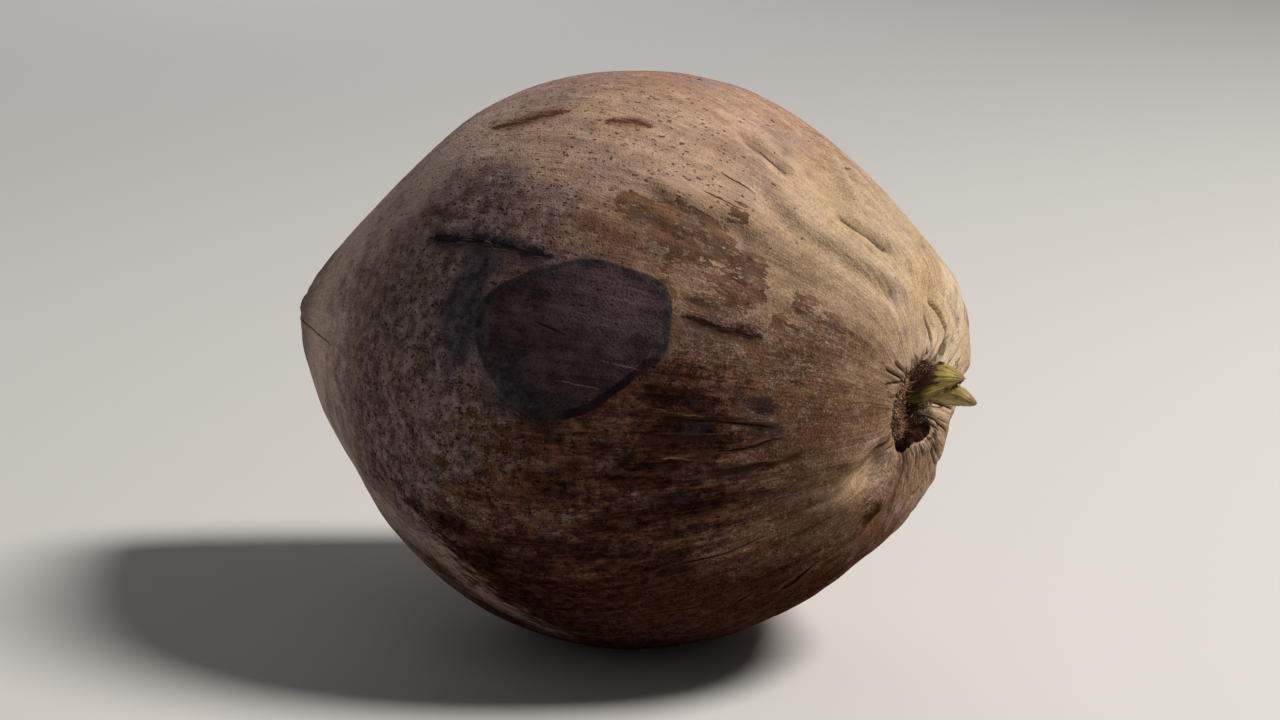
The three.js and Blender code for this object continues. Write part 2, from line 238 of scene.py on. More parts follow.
class Mat:
    def __init__(self, name):
        self.mat = bpy.data.materials.new(name)
        self.mat.use_nodes = True
        self.t = self.mat.node_tree
        self.shader = self.t.nodes["Principled BSDF"]
        self.count = 0

    def node(self, kind, **props):
        n = self.t.nodes.new(kind)
        self.count += 1
        n.location = (-260 * (1 + self.count // 9), 300 - 190 * (self.count % 9))
        for k, v in props.items():
            setattr(n, k, v)
        return n

    def put(self, socket, value):
        if isinstance(value, Val):
            self.t.links.new(value.s, socket)
        elif isinstance(value, (tuple, list)):
            socket.default_value = tuple(value) + ((1.0,) if socket.type == "RGBA" and len(value) == 3 else ())
        else:
            socket.default_value = value

    def math(self, op, a, b=None, c=None, clamp=False):
        n = self.node("ShaderNodeMath", operation=op, use_clamp=clamp)
        for k, v in enumerate((a, b, c)):
            if v is not None:
                self.put(n.inputs[k], v)
        return Val(self, n.outputs[0])

    def abs(self, a):
        return self.math("ABSOLUTE", a)

    def low(self, a, b):
        return self.math("MINIMUM", a, b)

    def high(self, a, b):
        return self.math("MAXIMUM", a, b)

    def clip(self, a):
        return self.math("ADD", a, 0.0, clamp=True)

    def step(self, lo, hi, x):
        """Smooth step from 0 at lo to 1 at hi; lo may be above hi."""
        n = self.node("ShaderNodeMapRange", interpolation_type="SMOOTHSTEP", clamp=True)
        flip = not isinstance(lo, Val) and not isinstance(hi, Val) and lo > hi
        self.put(n.inputs["Value"], x)
        self.put(n.inputs["From Min"], hi if flip else lo)
        self.put(n.inputs["From Max"], lo if flip else hi)
        self.put(n.inputs["To Min"], 1.0 if flip else 0.0)
        self.put(n.inputs["To Max"], 0.0 if flip else 1.0)
        return Val(self, n.outputs["Result"])

    def mix(self, t, a, b):
        n = self.node("ShaderNodeMix", data_type="RGBA", blend_type="MIX", clamp_factor=True)
        self.put(n.inputs[0], t)
        self.put(n.inputs[6], a)
        self.put(n.inputs[7], b)
        return Val(self, n.outputs[2])

    def tint(self, colour, amount):
        """A colour times a number."""
        n = self.node("ShaderNodeVectorMath", operation="SCALE")
        self.put(n.inputs[0], colour)
        self.put(n.inputs[3], amount)
        return Val(self, n.outputs[0])

    def attribute(self, name):
        n = self.node("ShaderNodeAttribute", attribute_name=name)
        return Val(self, n.outputs["Vector"])

    def split(self, v):
        n = self.node("ShaderNodeSeparateXYZ")
        self.put(n.inputs[0], v)
        return [Val(self, o) for o in n.outputs]

    def place(self):
        """Object coordinates in millimetres."""
        n = self.node("ShaderNodeTexCoord")
        return self.stretch(Val(self, n.outputs["Object"]), 1000.0, 1000.0, 1000.0)

    def stretch(self, v, x, y, z):
        n = self.node("ShaderNodeVectorMath", operation="MULTIPLY")
        self.put(n.inputs[0], v)
        n.inputs[1].default_value = (x, y, z)
        return Val(self, n.outputs[0])

    def push(self, v, by, amount):
        """A place moved about by a colour noise."""
        a = self.node("ShaderNodeVectorMath", operation="SUBTRACT")
        self.put(a.inputs[0], by)
        a.inputs[1].default_value = (0.5, 0.5, 0.5)
        n = self.node("ShaderNodeVectorMath", operation="MULTIPLY_ADD")
        self.t.links.new(a.outputs[0], n.inputs[0])
        n.inputs[1].default_value = (amount, amount, amount)
        self.put(n.inputs[2], v)
        return Val(self, n.outputs[0])

    def noise(self, v, size, detail=3.0, rough=0.5, warp=0.0, colour=False):
        """0 to 1, about 0.5. size in mm."""
        n = self.node("ShaderNodeTexNoise", noise_dimensions="3D")
        self.put(n.inputs["Vector"], v)
        n.inputs["Scale"].default_value = 1.0 / size
        n.inputs["Detail"].default_value = detail
        n.inputs["Roughness"].default_value = rough
        n.inputs["Distortion"].default_value = warp
        return Val(self, n.outputs["Color" if colour else 0])

    def cells(self, v, size, feature="F1", jitter=1.0):
        """Distance in cells, and a random number for each cell."""
        n = self.node("ShaderNodeTexVoronoi", voronoi_dimensions="3D", feature=feature)
        self.put(n.inputs["Vector"], v)
        n.inputs["Scale"].default_value = 1.0 / size
        n.inputs["Randomness"].default_value = jitter
        d = Val(self, n.outputs["Distance"])
        if feature != "F1":
            return d, None
        return d, self.split(Val(self, n.outputs["Color"]))

    def dots(self, v, size, share, radius, soft=0.08):
        """Round dots: share of the cells (0 to 1, may vary) that hold one, radius in cells."""
        d, rnd = self.cells(v, size)
        there = self.step(share + 0.02, share - 0.02, rnd[0])
        there = self.math("SUBTRACT", 1.0, self.step(share - 0.03, share + 0.03, rnd[0])) if isinstance(share, Val) else there
        r = rnd[1] * (radius * 0.7) + radius * 0.3
        return self.math("SUBTRACT", 1.0, self.step(r - soft, r + soft, d)) * there

    def finish(self, colour, rough, height=None, strength=1.0):
        self.put(self.shader.inputs["Base Color"], colour)
        self.put(self.shader.inputs["Roughness"], rough)
        if height is not None:
            n = self.node("ShaderNodeBump")
            n.inputs["Strength"].default_value = strength
            n.inputs["Distance"].default_value = 0.001
            self.put(n.inputs["Height"], height)
            self.t.links.new(n.outputs["Normal"], self.shader.inputs["Normal"])
        return self.mat

# ---------------------------------------------------------------- the husk's grid
def spacing(x, total):
    if x < 6:
        return 0.95
    if x < 24:
        return 0.5
    if x < 62:
        return 0.5 + (x - 24) / 38 * 1.85
    return min(2.35, 1.15 + max(0.0, total - x) / 45 * 1.2)


fine = np.radians(np.linspace(0, 176.5, 6000))
fine_r = knots(np.radians(POLAR_DEG), POLAR_R, fine)
fine_s = np.concatenate([[0], np.cumsum(np.hypot(np.diff(fine_r), fine_r[1:] * np.diff(fine)))])
LENGTH = fine_s[-1]
stops = [0.0]
while stops[-1] < LENGTH:
    stops.append(stops[-1] + spacing(stops[-1], LENGTH))
stops = np.array(stops) * (LENGTH / stops[-1])
PHI = np.interp(stops, fine_s, fine)
THETA = np.arange(MERIDIANS) * (2 * np.pi / MERIDIANS)

phi, theta = np.meshgrid(PHI, THETA, indexing="ij")
body = skin(phi, theta)
body[..., 1] += PIT_SHIFT[0] * np.exp(-((np.degrees(phi) / PIT_SHIFT[1]) ** 2))
ring_end = body[-1]
knob_base = ring_end.mean(0)
knob_rows = []
for radius, height in KNOB[1:]:
    row = (ring_end - knob_base) * (radius / 10.0)
    row[:, 0] = 0
    share = height / 6.3
    knob_rows.append(row + knob_base + [-height, KNOB_SHIFT[0] * share, KNOB_SHIFT[1] * share])
grid = np.concatenate([body, np.array(knob_rows)])
ROWS = len(grid)
row_s = np.concatenate([stops, LENGTH + np.cumsum([math.hypot(a[0] - b[0], a[1] - b[1]) for a, b in zip(KNOB, KNOB[1:])])])


def grid_normals(g):
    du = np.empty_like(g)
    du[1:-1] = g[2:] - g[:-2]
    du[0], du[-1] = g[1] - g[0], g[-1] - g[-2]
    dv = np.roll(g, -1, 1) - np.roll(g, 1, 1)
    n = np.cross(dv, du)
    for end, other in ((0, 1), (-1, -2)):  # the two poles have no width
        mean = n[other].mean(0)
        n[end] = mean
    n /= np.linalg.norm(n, axis=-1, keepdims=True)
    return n if (n * (g - g.mean((0, 1)))).sum() > 0 else -n


P = grid.reshape(-1, 3)
N = grid_normals(grid).reshape(-1, 3)
S = np.repeat(row_s, MERIDIANS)
TH = np.tile(THETA, ROWS)
AROUND = np.hypot(P[:, 1], P[:, 2])
COUNT = len(P)
FIBRE = np.stack([np.cos(TH) * 100, np.sin(TH) * 100, S], -1)  # across the fibres, and along them

rise = np.zeros(COUNT)  # out along the skin's normal, mm
crease_shade_and_soiling = np.zeros(COUNT)  # painted shade and soiling in creases
crest_wear_and_highlight = np.zeros(COUNT)  # pale crests: partly worn skin, partly a painted highlight


def along(line, reach):
    """Vertices within reach of a line on the nut: (which, signed distance across it, 0 to 1 along it, how far past its ends, its length)."""
    middle = line.mean(0)
    radius = np.linalg.norm(line - middle, axis=1).max() + reach
    which = np.flatnonzero(((P - middle) ** 2).sum(1) < radius**2)
    a, d = line[:-1], np.diff(line, axis=0)
    length = np.linalg.norm(d, axis=1)
    total = length.sum()
    before = np.concatenate([[0], np.cumsum(length)[:-1]])
    parts = []
    for some in np.array_split(which, max(1, len(which) * len(a) // 400000 + 1)):
        v = P[some][:, None] - a[None]
        t = np.clip((v * d[None]).sum(-1) / length**2, 0, 1)
        gap = v - t[..., None] * d[None]
        k = (gap**2).sum(-1).argmin(1)
        r = np.arange(len(some))
        w, tangent = gap[r, k], d[k] / length[k][:, None]
        across = np.cross(N[some], tangent)
        across /= np.linalg.norm(across, axis=1)[:, None] + 1e-9
        parts.append((some, (w * across).sum(1), (before[k] + t[r, k] * length[k]) / total, np.abs((w * tangent).sum(1))))
    out = [np.concatenate([p[c] for p in parts]) for c in range(4)]
    near = np.hypot(out[1], out[3]) < reach
    return [o[near] for o in out] + [total]


def ends(s, over, total, first, last):
    """Fades a line in over its first mm and out over its last mm."""
    out = np.ones_like(s)
    if first > 0:
        out *= smooth(0, first / total, s)
    if last > 0:
        out *= smooth(0, last / total, 1 - s)
    return out


def crease(line, depth, width, first=4.0, last=4.0, sharp=True, lips=0.25, shade_and_soiling=0.5, shade_and_soiling_width=None):
    which, d, s, over, total = along(line, width * 6 + 1)
    e = ends(s, over, total, first, last)
    r = np.hypot(d, over)
    shape = np.exp(-((r / width) ** 1.3)) if sharp else bell(r, width)
    rise[which] -= depth * e * shape
    rise[which] += depth * lips * e * bell(r - 2.3 * width, 1.2 * width)
    # the crease's line is painted dark: partly soiling, partly painted shade
    crease_shade_and_soiling[which] = np.maximum(crease_shade_and_soiling[which], shade_and_soiling * e * bell(r, shade_and_soiling_width or width * 0.9))


def ridge(line, height, width, first=6.0, last=6.0, pale=0.3):
    which, d, s, over, total = along(line, width * 4 + 1)
    e = ends(s, over, total, first, last)
    r = np.hypot(d, over)
    rise[which] += height * e * bell(r, width)
    # the crest is painted paler: partly wear, partly a painted highlight
    crest_wear_and_highlight[which] = np.maximum(crest_wear_and_highlight[which], pale * e * bell(r, width * 0.6))


def fold(line, height, width, first=6.0, last=6.0):
    """Skin that steps up on the line's left side and drops on its right, fading away from it."""
    which, d, s, over, total = along(line, width * 6)
    e = ends(s, over, total, first, last) * bell(over, width)
    rise[which] += height * e * np.tanh(d / (0.5 * width)) * np.exp(-np.abs(d) / (2.2 * width))


def place_of(p):
    """(theta, distance from the stem end along the skin, distance from the axis) of a place."""
    a = math.acos(max(-1.0, min(1.0, p[0] / np.linalg.norm(p))))
    return math.atan2(-p[1], p[2]), float(np.interp(a, fine, fine_s)), math.hypot(p[1], p[2])


def zone(p, across, along_, edge=0.55):
    """0 to 1 inside an oval on the skin that is so wide across the fibres and so long along them, mm."""
    t0, s0, r0 = place_of(p)
    d = (TH - t0 + np.pi) % (2 * np.pi) - np.pi
    r = np.hypot(d * np.minimum(AROUND, r0 * 1.3 + 5) / across, (S - s0) / along_)
    return 1 - smooth(edge, 2 - edge, r)


# --- broad unevenness, then long shallow ribs along the fibres
calm = smooth(20, 60, S) * smooth(0, 40, LENGTH - S)
rise += 0.55 * fbm(P / 46.0, 3, 11) * calm
rise += 0.25 * fbm(P / 15.0, 3, 12) * smooth(18, 40, S)
ribs = fbm(FIBRE / [14.0, 14.0, 190.0], 3, 21)
fine_ribs = fbm(FIBRE / [5.0, 5.0, 90.0], 3, 22)
rise += (0.50 * ribs + 0.26 * fine_ribs) * smooth(16, 45, S)
rise += 0.20 * fbm(P / 4.5, 2, 13) * smooth(18, 40, S)

# --- the apex: the skin gathers in small pleats towards the knob
near_tip = smooth(60, 8, LENGTH - S)
pleats = fbm(np.stack([np.cos(TH) * 3.2, np.sin(TH) * 3.2, S / 80.0], -1), 3, 31)
rise += 0.9 * pleats * near_tip * smooth(-4, 6, LENGTH - S)
rise += 0.25 * fbm(P / 3.0, 3, 33) * smooth(6, -2, LENGTH - S)

# --- folds and grooves of the skin, each named by the pixels it runs through
crease(curve_at([(733, 130), (748, 141), (763, 152), (779, 165), (797, 184)]), 1.9, 2.3, 8, 8, sharp=False, shade_and_soiling=0.55, shade_and_soiling_width=1.5)
crease(curve_at([(752, 126), (768, 138), (784, 152), (800, 168)]), 0.9, 3.0, 8, 8, sharp=False, shade_and_soiling=0.1)
crease(curve_at([(826, 206), (838, 214), (850, 223), (864, 232), (882, 244), (902, 257)]), 1.9, 2.0, 8, 8, sharp=False, shade_and_soiling=0.75, shade_and_soiling_width=1.5)
ridge(curve_at([(806, 128), (820, 144), (832, 162), (842, 180), (850, 198), (860, 218)]), 2.4, 3.4, 8, 8, pale=0.45)
crease(curve_at([(826, 142), (839, 158), (851, 176), (862, 194), (876, 213)]), 1.6, 3.2, 6, 8, sharp=False, shade_and_soiling=0.12)
crease(curve_at([(790, 150), (805, 168), (818, 186), (832, 203)]), 1.1, 3.4, 8, 8, sharp=False, shade_and_soiling=0.1)
crease(curve_at([(752, 180), (766, 196), (780, 217), (802, 237), (825, 250), (850, 268), (882, 290), (914, 308)]), 1.7, 3.6, 14, 14, sharp=False, shade_and_soiling=0.14, shade_and_soiling_width=1.6)
ridge(curve_at([(760, 172), (786, 204), (812, 228), (844, 250), (880, 275), (912, 296)]), 1.1, 4.2, 14, 14, pale=0.3)
crease(curve_at([(632, 184), (645, 188), (671, 205), (699, 218), (729, 228), (770, 258)]), 0.9, 2.6, 10, 14, sharp=False, shade_and_soiling=0.35)
ridge(curve_at([(640, 175), (672, 190), (704, 203), (735, 214), (775, 240)]), 0.9, 3.4, 10, 12, pale=0.3)
crease(curve_at([(700, 225), (740, 245), (780, 270), (820, 296)]), 0.7, 3.6, 12, 14, sharp=False, shade_and_soiling=0.15)
crease(curve_at([(860, 236), (884, 252), (905, 270), (925, 290), (940, 312)]), 1.0, 3.2, 10, 10, sharp=False, shade_and_soiling=0.15)
ridge(curve_at([(770, 300), (820, 318), (862, 336), (895, 352)]), 0.7, 5.0, 14, 10, pale=0.15)
# the long soft keel along the lower outline, left
ridge(curve_at([(352, 447), (380, 488), (415, 520), (446, 535), (475, 545)]), 0.8, 4.0, 20, 16, pale=0.1)
crease(curve_at([(470, 543), (513, 545), (547, 546), (590, 544), (640, 542)]), 0.45, 0.9, 10, 16, shade_and_soiling=0.8)
crease(curve_at([(372, 474), (395, 500), (425, 524), (455, 541)]), 0.35, 0.8, 12, 10, shade_and_soiling=0.45)
# rough raised strands on the lower right, each a pale ridge with a painted highlight over a crease painted dark as its
# shadow
for pts_, depth, width in (
    ([(651, 413), (668, 416), (687, 419), (722, 421), (759, 425), (788, 429)], 0.7, 0.9),
    ([(717, 450), (735, 449), (752, 447), (772, 440), (797, 437)], 0.7, 0.9),
    ([(632, 470), (655, 466), (680, 462), (712, 462)], 0.4, 0.9),
    ([(640, 441), (672, 438), (700, 440), (735, 436)], 0.4, 1.0),
    ([(700, 478), (740, 470), (780, 462), (815, 446)], 0.35, 1.2),
):
    line = curve_at(pts_)
    crease(line, depth, width, 8, 8, lips=0.1, shade_and_soiling=0.75)
    ridge(curve_at([(x, y - 5) for x, y in pts_]), depth * 0.7, 1.1, 8, 8, pale=0.7)
for pts_, depth, width in (
    ([(640, 520), (690, 514), (740, 500), (790, 492), (834, 484)], 0.9, 3.2),
    ([(690, 560), (730, 548), (775, 530), (815, 505), (850, 478)], -0.9, 3.6),
    ([(640, 560), (700, 550), (735, 541), (775, 520)], 0.35, 1.0),
    ([(650, 585), (700, 575), (750, 556), (800, 530)], 0.4, 1.6),
    ([(700, 590), (745, 574), (800, 548), (850, 515)], 0.45, 1.8),
    ([(690, 618), (740, 606), (790, 588), (840, 560)], 0.3, 1.4),
    ([(440, 470), (500, 488), (560, 497), (620, 498)], 0.35, 1.4),
    ([(450, 500), (510, 520), (570, 524), (640, 520)], 0.35, 1.2),
    ([(500, 560), (560, 566), (620, 566), (690, 556)], 0.4, 1.2),
    ([(520, 590), (580, 600), (640, 600), (700, 590)], 0.4, 1.2),
    ([(560, 622), (620, 630), (680, 626), (730, 612)], 0.35, 1.0),
):
    if depth > 0:
        crease(curve_at(pts_), depth, width, 14, 14, sharp=False, shade_and_soiling=0.35)
    else:
        ridge(curve_at(pts_), -depth, width, 14, 10, pale=0.35)

# --- folds that gather at the stem end; the deep crease beside the fold and its hollow are painted dark as their shade
fold(curve_at([(841, 484), (849, 475), (858, 464), (867, 453), (876, 445), (887, 437)]), 2.6, 2.6, 5, 5)
crease(curve_at([(846, 480), (853, 472), (861, 463), (869, 455)], 0.8), 2.3, 0.9, 2.0, 4, lips=0.05, shade_and_soiling=1.0, shade_and_soiling_width=0.8)
rise -= 2.2 * zone(at(872, 466), 6.0, 7.0)
rise += 1.3 * zone(at(884, 490), 7.0, 9.0)
# painted shade in the fold's hollow
crease_shade_and_soiling = np.maximum(crease_shade_and_soiling, 0.70 * zone(at(868, 459), 3.4, 6.5))
# painted shade in the creases above the scar
for px, py in ((941, 351), (947, 347), (952, 342)):
    crease_shade_and_soiling = np.maximum(crease_shade_and_soiling, 0.65 * zone(at(px, py), 0.9, 4.0))
ridge(curve_at([(832, 474), (848, 460), (862, 446), (876, 433), (886, 424)]), 1.4, 3.4, 8, 6, pale=0.5)
ridge(curve_at([(850, 502), (868, 492), (882, 476), (893, 456)]), 0.9, 4.0, 8, 6, pale=0.2)
crease(curve_at([(820, 500), (850, 486), (866, 480)]), 0.7, 3.0, 10, 6, sharp=False, shade_and_soiling=0.15)
# the far side of the stem end is drawn in a little
rise -= 2.0 * zone(at(966, 410), 13.0, 12.0)
rise -= 2.2 * zone(at(957, 452), 9.0, 8.0)
for pts_, depth, width, shade_and_soiling in (
    ([(883, 386), (894, 383), (906, 382)], 0.8, 0.75, 0.85),
    ([(885, 368), (896, 375), (909, 384)], 1.3, 0.8, 1.0),
    ([(894, 361), (902, 369), (912, 379)], 1.3, 0.8, 1.0),
    ([(904, 365), (908, 371), (913, 378)], 0.9, 0.6, 0.9),
    ([(875, 371), (888, 378), (902, 386)], 0.35, 0.6, 0.4),
    ([(887, 399), (894, 397), (901, 395)], 0.5, 0.7, 0.7),
    ([(915, 361), (918, 369)], 0.6, 0.6, 0.6),
    ([(922, 312), (926, 322), (929, 332), (931, 343), (930, 351), (926, 360)], 2.0, 0.9, 1.0),
    ([(921, 305), (927, 317), (935, 331)], 0.6, 1.3, 0.15),
    ([(929, 300), (938, 312), (943, 322), (946, 331), (945, 340), (939, 350)], 2.6, 1.0, 1.0),
    ([(950, 334), (946, 344), (939, 356)], 2.6, 1.1, 1.0),
    ([(957, 330), (952, 342), (947, 351), (941, 360)], 2.2, 1.1, 1.0),
    ([(913, 352), (917, 360), (919, 366)], 0.7, 0.6, 0.7),
    ([(938, 330), (938, 340), (935, 348)], 0.7, 0.6, 0.6),
    ([(938, 286), (948, 303), (955, 318), (958, 334), (955, 348)], 0.9, 1.6, 0.2),
    ([(965, 361), (960, 373)], 0.7, 0.8, 0.8),
    ([(955, 360), (960, 369)], 0.6, 0.8, 0.7),
    ([(935, 403), (945, 406), (955, 410)], 1.0, 0.8, 0.95),
    ([(929, 415), (937, 421), (949, 434)], 1.0, 0.75, 1.0),
    ([(931, 421), (940, 432)], 0.8, 0.7, 0.9),
    ([(933, 444), (933, 454), (937, 466)], 0.9, 0.8, 0.9),
    ([(889, 434), (884, 440)], 0.8, 0.8, 0.8),
    ([(890, 503), (896, 489), (902, 477), (909, 462)], 1.0, 0.9, 0.8),
    ([(907, 503), (915, 493), (923, 483), (930, 470)], 0.9, 0.8, 0.8),
    ([(931, 458), (929, 472), (922, 486)], 0.8, 0.8, 0.8),
    ([(905, 500), (912, 484), (918, 468), (921, 455)], 0.6, 0.7, 0.5),
    ([(882, 522), (892, 501), (899, 486)], 0.7, 0.8, 0.6),
    ([(916, 512), (926, 494), (933, 474), (936, 460)], 0.7, 0.8, 0.7),
    ([(912, 455), (911, 470), (904, 486)], 0.5, 0.7, 0.4),
):
    crease(curve_at(pts_, 0.8), depth * 1.2, width * 0.56, 3.0, 1.2, lips=0.12, shade_and_soiling=shade_and_soiling, shade_and_soiling_width=max(width * 0.48, 0.40))

# ---------------------------------------------------------------- the stem scar and its pit
SCAR_Y, SCAR_Z = -4.6, 0.0
# the torn edge of the skin: degrees round the scar from the far side (+Y) up over the top, and its distance from the middle
TORN = [(0, 19.0), (16, 18.0), (32, 18.5), (50, 17.5), (70, 15.8), (86, 14.8), (101, 13.9), (115, 13.8), (128, 14.0), (140, 14.2), (151, 14.5), (162, 14.7), (172, 14.8),
        (181, 15.1), (189, 15.5), (197, 15.6), (204, 15.5), (214, 15.5), (224, 16.0), (235, 16.5), (247, 16.1), (259, 15.4), (270, 14.7), (279, 14.4), (290, 15.0),
        (302, 17.2), (311, 19.2), (318, 20.9), (323, 21.2), (328, 19.4), (333, 16.2), (339, 13.8), (346, 14.2), (352, 16.5)]
qy, qz = P[:, 1] - SCAR_Y, P[:, 2] - SCAR_Z
RR = np.hypot(qy, qz)
AA = np.degrees(np.arctan2(qz, qy)) % 360
torn_a = np.array([a for a, _ in TORN] + [360.0])
torn_r = np.array([r for _, r in TORN] + [TORN[0][1]])
ragged = noise(np.stack([np.cos(np.radians(AA)) * 9, np.sin(np.radians(AA)) * 9, 0 * AA], -1), 41) * 0.9
ragged += noise(np.stack([np.cos(np.radians(AA)) * 24, np.sin(np.radians(AA)) * 24, 0 * AA], -1), 42) * 0.45
EDGE = np.interp(AA, torn_a, torn_r) + ragged
INSIDE = EDGE - RR  # mm inside the torn edge
stem_end = P[:, 0] > 40
q = np.clip(RR / EDGE, 0, 3)
to_left = np.cos(np.radians(AA - 205))  # 1 on the near, lower side of the scar

# short puckers all the way round, where the skin drew in as the stalk dried
rng = np.random.default_rng(7)
for k in range(30):
    a = k * 12 + rng.uniform(-4, 4)
    if 75 < a < 185 or 320 < a < 352:
        continue  # those sides have folds of their own
    edge_here = float(np.interp(a % 360, torn_a, torn_r))
    long_ = rng.uniform(4, 12) * (1.5 if a < 75 else 1.0)
    bend = rng.uniform(-10, 10)
    r = np.linspace(edge_here + 0.2, edge_here + long_, 8)
    b = np.radians(a + bend * np.linspace(0, 1, 8) ** 1.4)
    line = np.stack([0 * r + 100, SCAR_Y + r * np.cos(b), SCAR_Z + r * np.sin(b)], -1)
    line = np.array([np.array(SMOOTH_NUT.find_nearest(Vector(p))[0]) for p in line])
    crease(line, rng.uniform(0.35, 0.9), rng.uniform(0.6, 1.0), 0.5, 3.5, shade_and_soiling=rng.uniform(0.4, 0.9))

# fine wrinkles that run in to the scar, strongest beneath it and beyond it; their valleys are darkened, partly soiling
# and partly painted shade
turn = np.radians(AA)
beat = np.stack([np.cos(turn) * 11, np.sin(turn) * 11, RR / 26.0], -1)
valley = 1 - np.abs(noise(beat, 45)) * 2.6
fine_valley = 1 - np.abs(noise(beat * [2.3, 2.3, 1.0], 46)) * 2.6
beyond = 0.30 + 0.85 * smooth(0.1, -0.75, np.cos(turn - math.radians(150)))  # least on the near, upper side
near_scar = smooth(-0.5, 1.5, RR - EDGE) * smooth(34, 3, RR - EDGE) * stem_end
rise -= near_scar * beyond * (0.44 * smooth(0.15, 1.0, valley) + 0.30 * smooth(0.2, 1.0, fine_valley))
crease_shade_and_soiling = np.maximum(crease_shade_and_soiling, near_scar * beyond * (0.62 * smooth(0.62, 1.0, valley) + 0.4 * smooth(0.7, 1.0, fine_valley)))

# the skin rolls in at the scar
lip = 0.55 * bell(RR - EDGE - 4.0, 2.6) * (0.6 + 0.6 * np.clip(to_left, 0, 1))
roll = 1.3 * np.exp(-np.clip(RR - EDGE, 0, None) / 1.6)
sink = np.zeros(COUNT)  # along -X, mm
sink += np.where(RR > EDGE, roll, 1.3) * smooth(40, 24, RR)
sink -= lip
# inside: a torn step, coir that stands up on the near side, and a slope down to the hollow
step = smooth(0.0, 0.9, INSIDE)
coir = smooth(0.6, 2.2, INSIDE)
rough = 0.9 * fbm(P / 3.6, 3, 51) + 0.75 * fbm(P / 1.5, 3, 52)
shadowed_lower_lip = smooth(214, 230, AA) * smooth(350, 336, AA) * smooth(-7.5, -10.0, qz)  # a smooth strip of torn skin under the hollow, dark as its own tissue and as a painted cast shadow of the shoot and rim
sink += step * (0.9 - 0.35 * np.clip(to_left, 0, 1) + 1.3 * shadowed_lower_lip * smooth(1.0, 0.4, q))
sink += coir * (1.0 - q) * (4.2 - 3.0 * np.clip(to_left, -0.4, 1))
crest = bell(q - 0.74, 0.19) * smooth(95, 125, AA) * smooth(278, 250, AA)
sink -= coir * 1.9 * crest
sink -= coir * rough * (1 - 0.75 * shadowed_lower_lip)
from_hollow = np.hypot(P[:, 1] + 0.2, P[:, 2] - 0.9)
hollow_edge = 9.3 + 3.4 * bell(AA - 318, 26) - 5.4 * bell(AA - 198, 52) + 0.9 * noise(np.stack([np.cos(np.radians(AA)) * 3, np.sin(np.radians(AA)) * 3, 0 * AA + 5], -1), 55)
hollow = smooth(1.5, -4.2, from_hollow - hollow_edge)
sink += 11.6 * hollow
sink *= smooth(46, 26, RR)
sink[~stem_end] = 0

# ---------------------------------------------------------------- the sides that the camera doesn't see
for k in range(30):
    t = rng.uniform(168, 342)  # degrees round the axis: beneath and behind
    f0 = rng.uniform(35, 120)
    length = rng.uniform(10, 34)
    drift = rng.uniform(-5, 5)
    line = curve_on([(f0, t), (f0 + length * 0.5, t + drift * 0.6), (f0 + length, t + drift)])
    kind = rng.uniform()
    if kind < 0.45:
        crease(line, rng.uniform(0.35, 0.9), rng.uniform(1.2, 2.8), 12, 12, sharp=False, shade_and_soiling=rng.uniform(0.1, 0.4))
    elif kind < 0.75:
        ridge(line, rng.uniform(0.4, 1.0), rng.uniform(1.8, 4.0), 12, 12, pale=0.35)
    else:
        crease(line, rng.uniform(0.3, 0.6), rng.uniform(0.7, 1.0), 10, 10, shade_and_soiling=0.6)
for f0, t0, f1, t1, depth in ((22, 188, 50, 182, 1.2), (20, 226, 44, 232, 1.0), (22, 268, 50, 262, 1.2), (22, 300, 42, 306, 1.0), (20, 338, 38, 334, 0.8)):
    crease(curve_on([(f0, t0), ((f0 + f1) / 2, (t0 + t1) / 2 + 2), (f1, t1)]), depth, 2.2, 6, 14, sharp=False, lips=0.4, shade_and_soiling=0.35)

# ---------------------------------------------------------------- the shape
out = N * rise[:, None]
out[:, 0] -= sink
V = P + out
# it rests on a small flat spot
low = FLOOR + 0.1
gap = V[:, 2] - low
V[:, 2] = low + 0.5 * (gap + np.sqrt(gap * gap + 0.5))

# ---------------------------------------------------------------- where the skin is pale, bloomed, peeled, spotted or has stains, and where it is painted darker low down as shade
def blobs(start, *spots):
    """start plus each (pixel x, pixel y, mm across the fibres, mm along them, amount)."""
    out = np.full(COUNT, float(start))
    for px, py, across, along_, amount in spots:
        out += amount * zone(at(px, py), across, along_)
    return out


def hidden(out, *spots):
    for f, t, across, along_, amount in spots:
        out += amount * zone(on_skin(f, t), across, along_)
    return out


# the large spots that take paleness away low on the front make it darker towards the bottom: painted shade
pale = hidden(
    blobs(0.34, (850, 210, 75, 95, 0.30), (925, 285, 40, 55, 0.30), (950, 350, 30, 30, 0.15), (640, 95, 45, 80, -0.09), (490, 150, 45, 60, 0.32), (400, 195, 26, 46, 0.62), (440, 150, 20, 40, 0.15),
          (325, 330, 90, 32, 0.55), (330, 400, 45, 30, 0.25), (855, 385, 24, 22, -0.52), (780, 330, 24, 30, 0.0), (730, 255, 20, 24, 0.06), (740, 376, 26, 28, -0.22), (735, 155, 24, 30, 0.18), (520, 450, 24, 32, -0.16), (856, 438, 6, 18, 0.14), (690, 135, 36, 50, 0.14), (876, 505, 22, 34, 0.22), (820, 440, 28, 30, 0.40), (925, 470, 18, 26, 0.22), (850, 516, 16, 24, 0.22), (955, 315, 14, 20, 0.40), (968, 372, 14, 14, 0.2), (930, 360, 16, 16, 0.1),
          (600, 210, 36, 60, -0.02), (560, 440, 70, 70, -0.28), (620, 560, 60, 110, -0.3), (770, 560, 44, 80, -0.34), (745, 160, 10, 20, -0.1)),
    (70, 250, 60, 80, 0.3), (120, 300, 50, 70, 0.2), (60, 200, 40, 60, 0.1), (140, 230, 40, 50, 0.15), (150, 300, 60, 40, 0.25))
